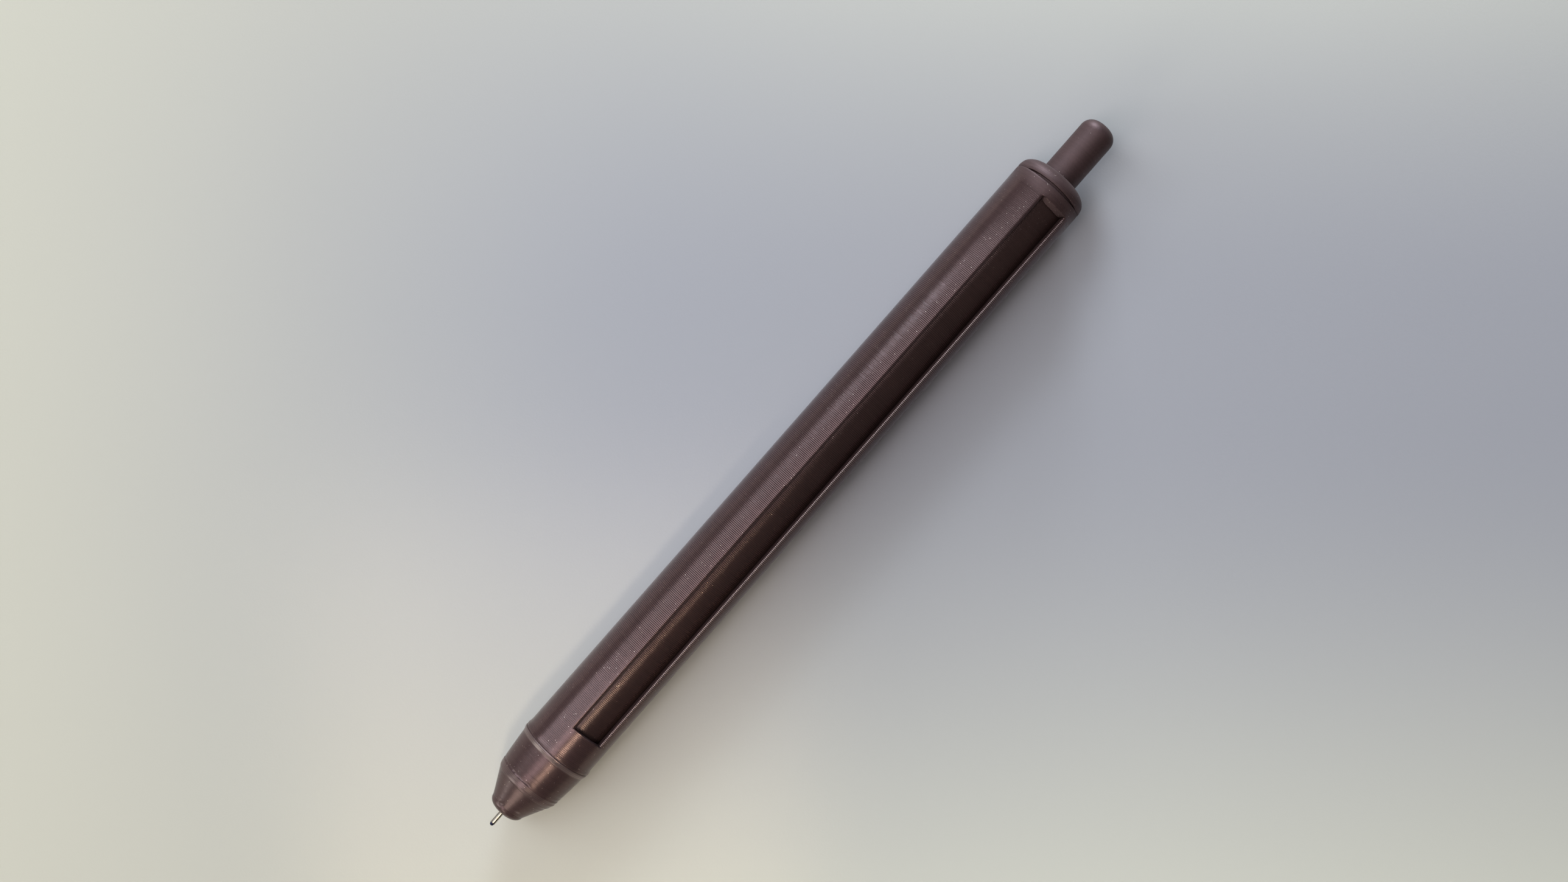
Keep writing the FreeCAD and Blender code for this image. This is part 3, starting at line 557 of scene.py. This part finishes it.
# %% [markdown]
# ## Outer barrel
# The barrel is a plain tube with a long slot, its window. It is printed standing up, so its
# layers run round it. In section the slot's walls are nearly parallel, its edges are rounded by
# the nozzle turning back there, and on the near edge each layer leaves a tiny knot: a row of
# beads. So the grid has narrow columns at both edges, with more `skin` on the near one, and
# coarser ones round the back. A Boolean could cut the slot out of a plain tube, but would leave
# no such columns at its edges.

# %% Barrel sections
BARREL_R = 6.35
BORE_R = 5.15
HALF_SLOT = 2.75
SLOT_FRONT = BARREL_FRONT + 5.5
SLOT_REAR = BARREL_REAR - 2.1
SLOT_SHARE = np.array([-1.0, -0.94, -0.8, -0.55, -0.28, 0.0, 0.28, 0.55, 0.8, 0.94, 1.0])
WALL_SHARE = np.array([1.0, 0.8, 0.55, 0.3, 0.0])  # points down a slot wall, as shares of its height
BACK_COLUMNS = 60


def circle_height(radius, across):
    return np.sqrt(radius ** 2 - across ** 2)


def rounded_edge(lip, rounding, steps=7):
    """The points round one edge of the slot, from its wall to the outside: how far across each lies,
    and how far it drops below the barrel's full round."""
    middle = lip + rounding
    height = math.sqrt((BARREL_R - rounding) ** 2 - middle ** 2)
    turn = np.linspace(math.pi, math.atan2(height, middle), steps)
    across = middle + rounding * np.cos(turn)
    return across, circle_height(BARREL_R, across) - height - rounding * np.sin(turn)


LIP = 2.60  # where the rounding starts; the slot is a little narrower there than at its foot
near_across, near_drop = rounded_edge(LIP, 0.30)
far_across, far_drop = rounded_edge(LIP, 0.40)
near_across = np.append(near_across, near_across[-1] + [0.10, 0.22])
near_drop = np.append(near_drop, [0.05, 0.0])  # a thin groove runs behind the row of beads
far_across = np.append(far_across, far_across[-1] + 0.15)
far_drop = np.append(far_drop, 0.0)

# One value for each column of an edge, from the slot outwards: how strong the row of beads is,
# how pale its painted highlight makes it, how much of the layers a smear takes away, and how
# far it sinks the edge.
BEAD_SKIN = np.array([1.0, 1.4, 1.9, 2.2, 2.2, 2.0, 1.5, 1.0, 1.0])
BEAD_HIGHLIGHT = np.array([0.0, 0.2, 0.6, 0.8, 0.8, 0.6, 0.2, 0.0, 0.0])
SMEARED_COLUMNS = np.array([1.0, 1.0, 1.0, 1.0, 0.7, 0.0, 0.0, 0.0])
SMEARED_SINK = np.array([0.0, 0.06, 0.10, 0.12, 0.10, 0.06, 0.0, 0.0])
top_across = np.where(SLOT_SHARE < 0, SLOT_SHARE * far_across[0], SLOT_SHARE * near_across[0])

stations, barrel_layer = rings(BARREL_FRONT, BARREL_REAR, LAYER)
front_ring = int(np.argmin(abs(stations - SLOT_FRONT)))
rear_ring = int(np.argmin(abs(stations - SLOT_REAR)))
stations[front_ring] = SLOT_FRONT
stations[rear_ring] = SLOT_REAR
print("rings", len(stations), "slot from ring", front_ring, "to", rear_ring, "layer", round(barrel_layer, 4))

# %% [markdown]
# The layers show strongly along the middle of the pen and faintly near both ends, where the
# print was slower and hotter. At the rear end the cap doesn't sit square, so the end is drawn
# back a little on top, and the seam gapes there and closes towards both sides.


# %% Barrel outside
def strength(x):
    """How strongly the layers show at a station."""
    places = [-59.5, -52.0, -44.0, -34.0, 36.0, 46.0, 52.0, 59.0, 61.8]
    return np.interp(x, places, [0.15, 0.22, 0.45, 1.0, 1.0, 0.5, 0.22, 0.13, 0.0])


def barrel_radius(x):
    """The barrel's radius: its very end is rounded off."""
    return BARREL_R + np.interp(BARREL_REAR - x, [0.0, 0.15, 0.4], [-0.10, -0.02, 0.0])


def swell(grid):
    """Squashes the first layers a little outwards, mostly at the pen's sides."""
    from_front = grid[..., 0] / MM - BARREL_FRONT
    up = grid[..., 2] - AXIS_HEIGHT * MM
    reach = np.hypot(grid[..., 1], up)
    bulge = np.interp(from_front, [0.0, 0.12, 0.3, 0.5, 0.8, 1.2], [0.04, 0.12, 0.15, 0.13, 0.05, 0.0])
    scale = 1 + bulge * MM * (0.15 + 0.85 * abs(grid[..., 1] / reach) ** 2) / reach
    grid[..., 1] *= scale
    grid[..., 2] = up * scale + AXIS_HEIGHT * MM
    return grid


def gape(points):
    """How far the seam in front of the cap is open at each point, from 1 on top to 0 at the sides."""
    lean = np.arctan2(-points[..., 1], points[..., 2] - AXIS_HEIGHT * MM)
    notch = 0.35 * np.exp(-((np.degrees(lean) - 51) / 4) ** 2)  # the seam opens once more at one side
    return np.clip((np.cos(lean) - 0.64) / 0.36, 0, 1) ** 0.5 + notch


def draw_back(grid, amount=0.10, over_length=0.6):
    """Draws the barrel's rear rim forwards on top, where the seam gapes."""
    share = np.clip((grid[..., 0] / MM - BARREL_REAR) / over_length + 1, 0, 1)
    grid[..., 0] -= amount * MM * gape(grid) * share ** 2
    return grid


SMEAR_END = -2.3  # the far edge was smeared smooth from the front up to there
x_out = stations[:, None]
radius = barrel_radius(x_out)
inside_slot = ((stations > SLOT_FRONT) & (stations < SLOT_REAR)).astype(float)[:, None]
skin_here = strength(x_out) * np.clip((x_out - BARREL_FRONT) / 0.3, 0, 1)
sag_share = 1 - abs(SLOT_SHARE) ** 6
rear_sag = np.interp(stations - SLOT_REAR, [-0.01, 0.0, 0.15, 0.5], [0, 0.10, 0.05, 0])
smeared = np.where(stations < SMEAR_END, 0.15, 1.0)[:, None]

back = np.linspace(
    math.asin(near_across[-1] / BARREL_R), math.tau - math.asin(far_across[-1] / BARREL_R), BACK_COLUMNS,
)[None, 1:-1]
beaded = inside_slot * np.clip((SLOT_REAR - 0.5 - x_out) / 0.3, 0, 1)  # ends just before the slot
# The row of beads on the near edge is made paler: a painted highlight where the knots catch the light.
near_edge = on_pen(
    x_out, near_across, circle_height(radius, near_across) - near_drop * inside_slot,
    skin_here + (BEAD_SKIN * (0.3 + 0.7 * skin_here) - skin_here) * beaded,
    BEAD_HIGHLIGHT * beaded * (0.3 + 0.7 * skin_here),
)
far_edge = on_pen(
    x_out, -far_across,
    circle_height(radius, far_across) - (far_drop + SMEARED_SINK * (smeared < 1)) * inside_slot,
    skin_here * (1 - (1 - smeared) * inside_slot * SMEARED_COLUMNS),
)
round_back = on_pen(x_out, radius * np.sin(back), radius * np.cos(back), skin_here)
outside = swell(draw_back(np.concatenate([near_edge, round_back, far_edge[:, ::-1]], axis=1)))
print("outside grid", outside.shape)

# %% [markdown]
# In front of the slot and behind it the section is a whole ring. The first strands that bridge
# the slot again at its rear end sag into it, which rounds that end off.

# %% Barrel over the slot, bore and walls
over = swell(draw_back(on_pen(
    x_out, top_across, circle_height(radius, top_across) - rear_sag[:, None] * sag_share, skin_here,
)))
bore_start = math.asin(HALF_SLOT / BORE_R)
bore_back = np.linspace(bore_start, math.tau - bore_start, 17)[None, :]
bore = on_pen(x_out, BORE_R * np.sin(bore_back), BORE_R * np.cos(bore_back))
bore_over = on_pen(x_out, SLOT_SHARE * HALF_SLOT, circle_height(BORE_R, SLOT_SHARE * HALF_SLOT))


def slot_wall(across, drop, side):
    """A side wall of the slot: from the start of the edge's rounding down to the bore."""
    top = circle_height(radius, across[0]) - drop[0] * inside_slot
    foot = circle_height(BORE_R, HALF_SLOT)
    sideways = HALF_SLOT + (across[0] - HALF_SLOT) * WALL_SHARE
    return on_pen(x_out, side * sideways, foot + (top - foot) * WALL_SHARE, 0.8 * WALL_SHARE * inside_slot)


def end_wall(ring, sag):
    """The slot's wall at one end, which may sag into the slot."""
    share = WALL_SHARE[:, None]
    top = circle_height(BARREL_R, top_across) - rear_sag[ring] * sag_share
    foot = circle_height(BORE_R, SLOT_SHARE * HALF_SLOT)
    across = SLOT_SHARE * HALF_SLOT * (1 - share) + top_across * share
    push = np.array([0.0, 0.22, 0.50, 0.72, 0.0])[:, None] * sag * sag_share
    return on_pen(stations[ring] - push, across, foot + (top - foot) * share)


# The turn of each of the outside's columns, and the column of the bore that faces it
outside_turn = np.concatenate([
    np.arcsin(near_across / BARREL_R), back[0], math.tau - np.arcsin(far_across[::-1] / BARREL_R),
])
facing = abs(outside_turn[:, None] - bore_back).argmin(axis=1)


def end_faces(ring):
    """The flat ring that closes one end of the barrel. The outside has more columns than the bore,
    so several of its points share one of the bore's."""
    return [np.stack([outside[ring], bore[ring][facing]]), np.stack([over[ring], bore_over[ring]])]


slot = slice(front_ring, rear_ring + 1)
front = slice(0, front_ring + 1)
rear = slice(rear_ring, len(stations))
barrel_grids = [
    outside, over[front], over[rear], bore, bore_over[front], bore_over[rear],
    slot_wall(near_across, near_drop, 1)[slot], slot_wall(far_across, far_drop, -1)[slot],
    end_wall(front_ring, 0.0), end_wall(rear_ring, 1.0),
    *end_faces(0), *end_faces(-1),
]
barrel = print_shell(
    "printed_barrel", barrel_grids, pla_barrel, BARREL_FRONT, barrel_layer,
    groove=0.060, uneven=0.005, wander=0.016, seed=3,
)
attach(barrel, "case")
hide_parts("outer_barrel")
print("barrel triangles", sum(len(p.vertices) - 2 for p in barrel.data.polygons))

# %% [markdown]
# ## Turned shells
# The inner tube, the nose and the cap are round all the way, so each is one outline turned
# about the axis. The outline runs along the outside and comes back through the bore, which
# closes the shell. The outside gets two rings a layer, the bore only its corners. A Screw
# modifier turns outlines too, but here each point also carries its `skin` and its paleness.

# %% Turn an outline
def turned(outline, columns):
    """A grid from an outline of x, radius, skin and paleness, turned about the pen's axis and closed."""
    outline = np.array(outline)
    angle = np.linspace(0, math.tau, columns + 1)[None, :]
    x, r, skin, paleness_and_highlight = (outline[:, k][:, None] for k in range(4))
    grid = on_pen(x, r * np.sin(angle), r * np.cos(angle), skin, paleness_and_highlight)
    return np.concatenate([grid, grid[:1]])


def with_skin(xs, radii, skin, paleness_and_highlight=0.0):
    xs, radii, skin, paleness_and_highlight = np.broadcast_arrays(xs, radii, skin, paleness_and_highlight)
    return np.stack([xs, radii, skin, paleness_and_highlight], -1)


def corners(*places):
    """Outline points where no layers show."""
    return np.array([[x, r, 0.0, 0.0] for x, r in places])


low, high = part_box("inner_tube")
TUBE_FRONT = low.x / MM
TUBE_REAR = high.x / MM
TUBE_R = 4.85
TUBE_BORE = 3.65
ROTOR_ROOM_X = 35.33  # where the bore widens for the rotor, and then for the cam sleeve
ROTOR_ROOM_R = 3.77
SLEEVE_ROOM_X = 42.42
SLEEVE_ROOM_R = 4.15
tube_stations, tube_layer = rings(TUBE_FRONT, TUBE_REAR, LAYER)
end_fade = np.clip(np.minimum(tube_stations - TUBE_FRONT, TUBE_REAR - tube_stations) / 0.3, 0, 1)
tube_outline = np.concatenate([
    corners((TUBE_FRONT, TUBE_BORE)),
    with_skin(tube_stations, TUBE_R, end_fade * strength(tube_stations)),
    corners((TUBE_REAR, SLEEVE_ROOM_R), (SLEEVE_ROOM_X, SLEEVE_ROOM_R), (SLEEVE_ROOM_X, ROTOR_ROOM_R)),
    corners((ROTOR_ROOM_X, ROTOR_ROOM_R), (ROTOR_ROOM_X, TUBE_BORE)),
])
inner_tube = print_shell(
    "printed_inner_tube", [turned(tube_outline, 56)], pla_tube, TUBE_FRONT, tube_layer,
    groove=0.060, uneven=0.005, wander=0.016, seed=11,
)
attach(inner_tube, "case")
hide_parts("inner_tube")

# %% [markdown]
# ## Nose
# The nose starts with a small rounded end round the needle, widens in a straight cone, bends
# over a soft shoulder and ends in a lip that stands a little proud of the barrel. A slightly
# raised pale band lies on the shoulder with a broken groove behind it, where the print's walls
# were joined, and the near side is rippled where the plastic curled while printing. It could be
# sculpted by hand, but formulas keep each mark at its own place in millimetres. All of it is
# relief on one turned outline, so it is added to the grid's points before they are welded.

# %% Nose outline
low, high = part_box("nose_cone")
NOSE_FRONT = low.x / MM
NOSE_LENGTH = BARREL_FRONT - NOSE_FRONT
TIP_ROUND = 1.3  # along the pen
NEEDLE_HOLE_R = 0.62
CONE_HOLE_END = 1.2
CONE_HOLE_R = 1.45
SPRING_SEAT = 3.2
SPRING_ROOM_R = 2.9
SPIGOT_END = 17.7  # plugs into the barrel
SPIGOT_R = 5.12
BOSS_END = 20.2  # plugs into the inner tube
BOSS_R = 3.62
LIP_START = 12.6
LIP_END = 13.45
NOSE_CURVE_X = [1.3, 5.60, 5.95, 6.30, 7.00, 9.00, 11.0, 12.3, 12.6, 13.0, 13.28, 13.4, 13.5]
NOSE_CURVE_R = [3.1, 5.32, 5.49, 5.58, 5.70, 5.93, 6.13, 6.24, 6.28, 6.42, 6.51, 6.51, 6.46]
NOSE_COLUMNS = 144
turn = np.radians(np.linspace(0, 86, 11))
tip_arc = with_skin(TIP_ROUND * (1 - np.cos(turn)), 1.35 + 1.75 * np.sin(turn), np.linspace(0.15, 0.2, 11))
nose_stations, nose_layer = rings(0.0, NOSE_LENGTH, LAYER)
nose_stations = nose_stations[nose_stations > TIP_ROUND + 0.1]
nose_radii = np.interp(nose_stations, NOSE_CURVE_X, NOSE_CURVE_R)
# Painted highlight: the lip, which faces the lamps at the writing end, is made paler.
lip_highlight = 0.45 * ((nose_stations > LIP_START) & (nose_stations < LIP_END))
pale_band = 0.22 * (abs(nose_stations - 6.4) < 0.6)
nose_skin = np.where(nose_stations > LIP_START, 0.18, 0.2)
nose_outline = np.concatenate([
    corners((0, NEEDLE_HOLE_R), (0, 0.9)),
    tip_arc,
    with_skin(nose_stations, nose_radii, nose_skin, lip_highlight + pale_band),
    corners((NOSE_LENGTH, SPIGOT_R), (SPIGOT_END, SPIGOT_R)),
    corners((SPIGOT_END, BOSS_R), (BOSS_END, BOSS_R), (BOSS_END, SPRING_ROOM_R)),
    corners((SPRING_SEAT, SPRING_ROOM_R), (SPRING_SEAT, CONE_HOLE_R)),
    corners((CONE_HOLE_END, CONE_HOLE_R), (CONE_HOLE_END, NEEDLE_HOLE_R)),
]) + [NOSE_FRONT, 0, 0, 0]
print("nose", round(NOSE_LENGTH, 3), "mm long with", len(nose_stations), "rings")


# %% Nose relief
PITS = ((1.55, -22, 0.12), (1.75, -14, 0.08), (1.1, 16, 0.07))  # station, lean in degrees, depth


def nose_relief(grid):
    """Adds the raised band, the broken groove behind it, the ripples below and three pits in front."""
    draw = np.random.default_rng(6)
    x = grid[..., 0] / MM - NOSE_FRONT
    up = grid[..., 2] - AXIS_HEIGHT * MM
    lean = np.degrees(np.arctan2(-grid[..., 1], up))  # degrees from the top towards the near side
    around = np.linspace(-180, 180, 121)
    there = draw.random(121) < 0.6
    dashes = np.interp(lean, around, there * (around > -120) * (around < 8))
    phase = np.interp(x, np.linspace(0, 14, 15), draw.uniform(-1.2, 1.2, 15))
    band = 0.045 * (abs(x - 6.42) < 0.66)
    groove = 0.10 * np.exp(-((x - 7.25) / 0.13) ** 2) * dashes
    curled = np.exp(-((lean - 82) / 26) ** 2) * np.exp(-((x - 5.9) / 2.3) ** 2)
    ripple = 0.055 * np.sin(math.tau * x / 0.75 + phase) * curled
    height = band - groove + ripple
    for pit_x, pit_lean, depth in PITS:
        aside = np.radians(lean - pit_lean) * 3.0
        height = height - depth * np.exp(-((x - pit_x) ** 2 + aside ** 2) / 0.16 ** 2)
    outer = grid[..., 3] > 0
    reach = np.hypot(grid[..., 1], up)
    scale = np.where(outer, 1 + height * MM / reach, 1.0)
    grid[..., 1] *= scale
    grid[..., 2] = up * scale + AXIS_HEIGHT * MM
    curl = np.exp(-((x - 2.2) / 0.16) ** 2) * np.exp(-((lean - 33) / 7) ** 2)
    grid[..., 4] = np.clip(grid[..., 4] + 0.9 * curl * outer, 0, 1)
    return grid


def blob(x, across, out, size):
    """A small lump of plastic, like a drop that the nozzle left."""
    turn = np.linspace(0, math.tau, 15)[None, :]
    rise = np.linspace(-math.pi / 2, math.pi / 2, 9)[:, None]
    lump = size * (1 + 0.15 * np.sin(3 * turn + 1) * np.cos(rise))
    return on_pen(
        x + lump * np.sin(rise), across + lump * np.cos(rise) * np.sin(turn),
        out + lump * np.cos(rise) * np.cos(turn), 0.05, 0.25,
    )


nose_grid = nose_relief(turned(nose_outline, NOSE_COLUMNS))
drop = blob(NOSE_FRONT - 0.05, 0.60, 0.62, 0.26)
nose = print_shell(
    "printed_nose", [nose_grid, drop], pla_nose, NOSE_FRONT, nose_layer,
    groove=0.050, uneven=0.020, wander=0.12, seed=5,
)
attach(nose, "case")
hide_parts("nose_cone")

# %% [markdown]
# ## End cap
# The cap is a quarter of an ellipse in section and closes the barrel behind. Its front rim
# follows the seam: it stands back on top and meets the barrel at both sides. A paler ring, a
# painted highlight, runs round it near the button. It is turned as the nose is, and only its
# front rim is bent.

# %% Cap
CAP_FLAT = 0.45  # from the seam to the start of the rounding
CAP_DEPTH = 2.35
CAP_RISE = 3.05
BUTTON_BORE = 3.3
PLUG_LENGTH = 2.4  # plugs into the inner tube
PLUG_R = 4.12
SEAM = 0.39
SEAM_BOTTOM_R = 5.65
turn = np.radians(np.linspace(88, 0, 24))
# Painted highlight: a paler ring on the rounding near the button.
ring_highlight = 0.45 * np.exp(-((np.degrees(turn) - 24) / 13) ** 2)
cap_arc = with_skin(CAP_FLAT + CAP_DEPTH * np.cos(turn), BUTTON_BORE + CAP_RISE * np.sin(turn), 0.35, ring_highlight)
cap_outline = np.concatenate([
    corners((-PLUG_LENGTH, BUTTON_BORE), (-PLUG_LENGTH, PLUG_R), (0, PLUG_R)),
    corners((0, SEAM_BOTTOM_R), (SEAM, SEAM_BOTTOM_R)),
    with_skin([SEAM], [6.28], 0.2),
    cap_arc,
]) + [BARREL_REAR, 0, 0, 0]
cap_grid = turned(cap_outline, 96)
from_seam = cap_grid[..., 0] / MM - BARREL_REAR
follow = np.clip(1 - (from_seam - SEAM) / 0.9, 0, 1) * (from_seam > 0.5 * SEAM)
cap_grid[..., 0] -= (SEAM - 0.02) * MM * (1 - np.clip(gape(cap_grid), 0, 1)) * follow
cap = print_shell(
    "printed_cap", [cap_grid], pla_cap, BARREL_REAR, LAYER,
    groove=0.010, uneven=0.004, wander=0.03, seed=8,
)
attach(cap, "case")
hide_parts("end_cap")

# %% [markdown]
# ## Needle and ball
# The needle is drawn stainless steel tube, bright with fine lines along it; the ball is ground
# carbide with a film of ink. Metals keep the IOR that the shader has by itself.

# %% Metals
STREAK_SCALE = 20000.0  # streaks 0.05 mm wide


def drawn_metal(name, hex_metal, roughness, streak=0.15):
    """Metal drawn through a die: faint streaks of 0.05 mm run along X in its colour."""
    material = bpy.data.materials.new(name)
    material.use_nodes = True
    tree = material.node_tree
    shader = tree.nodes["Principled BSDF"]
    place = add(tree, "ShaderNodeTexCoord").outputs["Object"]
    along = add(tree, "ShaderNodeMapping", {"Vector": place, "Scale": (0.05, 1.0, 1.0)})
    lines = add(
        tree, "ShaderNodeTexNoise", {"Vector": along.outputs[0], "Scale": STREAK_SCALE, "Detail": 2.0},
    )
    shade = add(
        tree, "ShaderNodeMath", {0: lines.outputs["Fac"], 1: streak, 2: 1 - streak / 2},
        operation="MULTIPLY_ADD",
    )
    colour = add(
        tree, "ShaderNodeMix", {"Factor": 1.0, "A": srgb(hex_metal), "B": shade.outputs[0]},
        data_type="RGBA", blend_type="MULTIPLY",
    )
    tree.links.new(colour.outputs["Result"], shader.inputs["Base Color"])
    shader.inputs["Roughness"].default_value = roughness
    shader.inputs["Metallic"].default_value = 1.0
    return material


drawn_steel = drawn_metal("drawn_stainless_steel", "#a39a8f", 0.26, streak=0.06)
# Painted reflection: the crimped end gets a dark navy colour for the dark surroundings it reflects.
dark_tip_steel = drawn_metal("dark_reflection_steel", "#26263a", 0.32)
turned_steel = drawn_metal("turned_stainless_steel", "#b9b4ae", 0.25)
spring_steel = drawn_metal("drawn_spring_steel", "#a3a09c", 0.3)
ground_carbide = drawn_metal("ground_carbide_ball", "#20202c", 0.15)
print("metals:", [m.name for m in (drawn_steel, dark_tip_steel, turned_steel, spring_steel, ground_carbide)])

# %% [markdown]
# The needle's mesh from the CAD file has few faces round it, and on a shiny tube these show as
# facets. A tube turned from the same outline with many columns reflects the lamps as one clean
# line. Its crimped end closes over the ball and is drawn dark navy, a painted dark reflection.

# %% Needle
low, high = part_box("needle_tube")
NEEDLE_FRONT = low.x / MM
NEEDLE_REAR = high.x / MM
NEEDLE_R = 0.42
NEEDLE_BORE = 0.16
RIM_R = 0.29
CRIMP_LENGTH = 0.45  # the part that is crimped over the ball and drawn dark navy, a painted dark reflection
crimp = np.linspace(0, 1, 6)
needle_outline = np.concatenate([
    corners((NEEDLE_FRONT, 0.24)),
    with_skin(NEEDLE_FRONT + CRIMP_LENGTH * crimp, RIM_R + (NEEDLE_R - RIM_R) * crimp, 0),
    with_skin(np.linspace(NEEDLE_FRONT + 0.6, NEEDLE_REAR, 12), NEEDLE_R, 0),
    corners((NEEDLE_REAR, NEEDLE_BORE), (NEEDLE_FRONT + 0.35, NEEDLE_BORE), (NEEDLE_FRONT + 0.25, 0.26)),
])
needle_mesh = weld("drawn_needle", [turned(needle_outline, 64)])
needle_mesh.shade_smooth()
needle_mesh.set_sharp_from_angle(angle=SHARP_CORNER)
needle_mesh.materials.append(drawn_steel)
needle_mesh.materials.append(dark_tip_steel)
for face in needle_mesh.polygons:
    face.material_index = int(face.center.x / MM < NEEDLE_FRONT + CRIMP_LENGTH)
needle = bpy.data.objects.new("drawn_needle", needle_mesh)
scene.collection.objects.link(needle)
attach(needle, "refill")
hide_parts("needle_tube")
print("needle", round(NEEDLE_REAR - NEEDLE_FRONT, 2), "mm long")

# %% [markdown]
# ## Refill
# The refill's tube and holder are natural polypropylene: milky, waxy and slightly see-through.
# Ink is wet and nearly black, the grease behind it a cloudy jelly. All four are smooth and
# even, so one function makes them, with a different colour, gloss and clearness.

# %% Refill materials
RIPPLE_SCALE = 1000.0  # ripples of about 1 mm


def moulded_plastic(name, hex_plastic, roughness, clear=0.0, ior=1.49):
    """Plastic or gel with a faint moulded ripple of about 1 mm."""
    material = bpy.data.materials.new(name)
    material.use_nodes = True
    tree = material.node_tree
    shader = tree.nodes["Principled BSDF"]
    place = add(tree, "ShaderNodeTexCoord").outputs["Object"]
    ripple = add(tree, "ShaderNodeTexNoise", {"Vector": place, "Scale": RIPPLE_SCALE, "Detail": 2.0})
    shade = add(tree, "ShaderNodeMath", {0: ripple.outputs["Fac"], 1: 0.2, 2: 0.9}, operation="MULTIPLY_ADD")
    colour = add(
        tree, "ShaderNodeMix", {"Factor": 1.0, "A": srgb(hex_plastic), "B": shade.outputs[0]},
        data_type="RGBA", blend_type="MULTIPLY",
    )
    bump = add(
        tree, "ShaderNodeBump",
        {"Height": ripple.outputs["Fac"], "Strength": 0.15, "Distance": 0.05 * MM},
    )
    tree.links.new(colour.outputs["Result"], shader.inputs["Base Color"])
    tree.links.new(bump.outputs["Normal"], shader.inputs["Normal"])
    shader.inputs["Roughness"].default_value = roughness
    shader.inputs["IOR"].default_value = ior
    shader.inputs["Transmission Weight"].default_value = clear
    return material


clear_pp = moulded_plastic("clear_polypropylene", "#dfe3e4", 0.18, clear=0.7)
natural_pp = moulded_plastic("natural_polypropylene", "#d6d8d4", 0.35, clear=0.2)
black_ink = moulded_plastic("wet_black_ink", "#101014", 0.08, ior=1.38)
clear_grease = moulded_plastic("follower_grease", "#d9d4ba", 0.2, clear=0.4, ior=1.46)
print("refill:", [m.name for m in (clear_pp, natural_pp, black_ink, clear_grease)])

# %% [markdown]
# ## The other pieces
# The button and the pieces inside have the right shape in the CAD model, and new meshes would
# add nothing that shows. So these CAD nodes keep their meshes, and only get their materials.

# %% Materials for the CAD nodes
finishes = {
    "plunger": pla_button,
    "cam_sleeve": pla_inside,
    "rotor": pla_inside,
    "refill_plug": pla_inside,
    "refill_tube": clear_pp,
    "tip_holder": natural_pp,
    "ink_column": black_ink,
    "grease_follower": clear_grease,
    "tip_cone": turned_steel,
    "writing_ball": ground_carbide,
    "return_spring": spring_steel,
}
for node_name, finish in finishes.items():
    nodes[node_name].data.materials.clear()
    nodes[node_name].data.materials.append(finish)
print("finished", len(finishes), "CAD nodes")
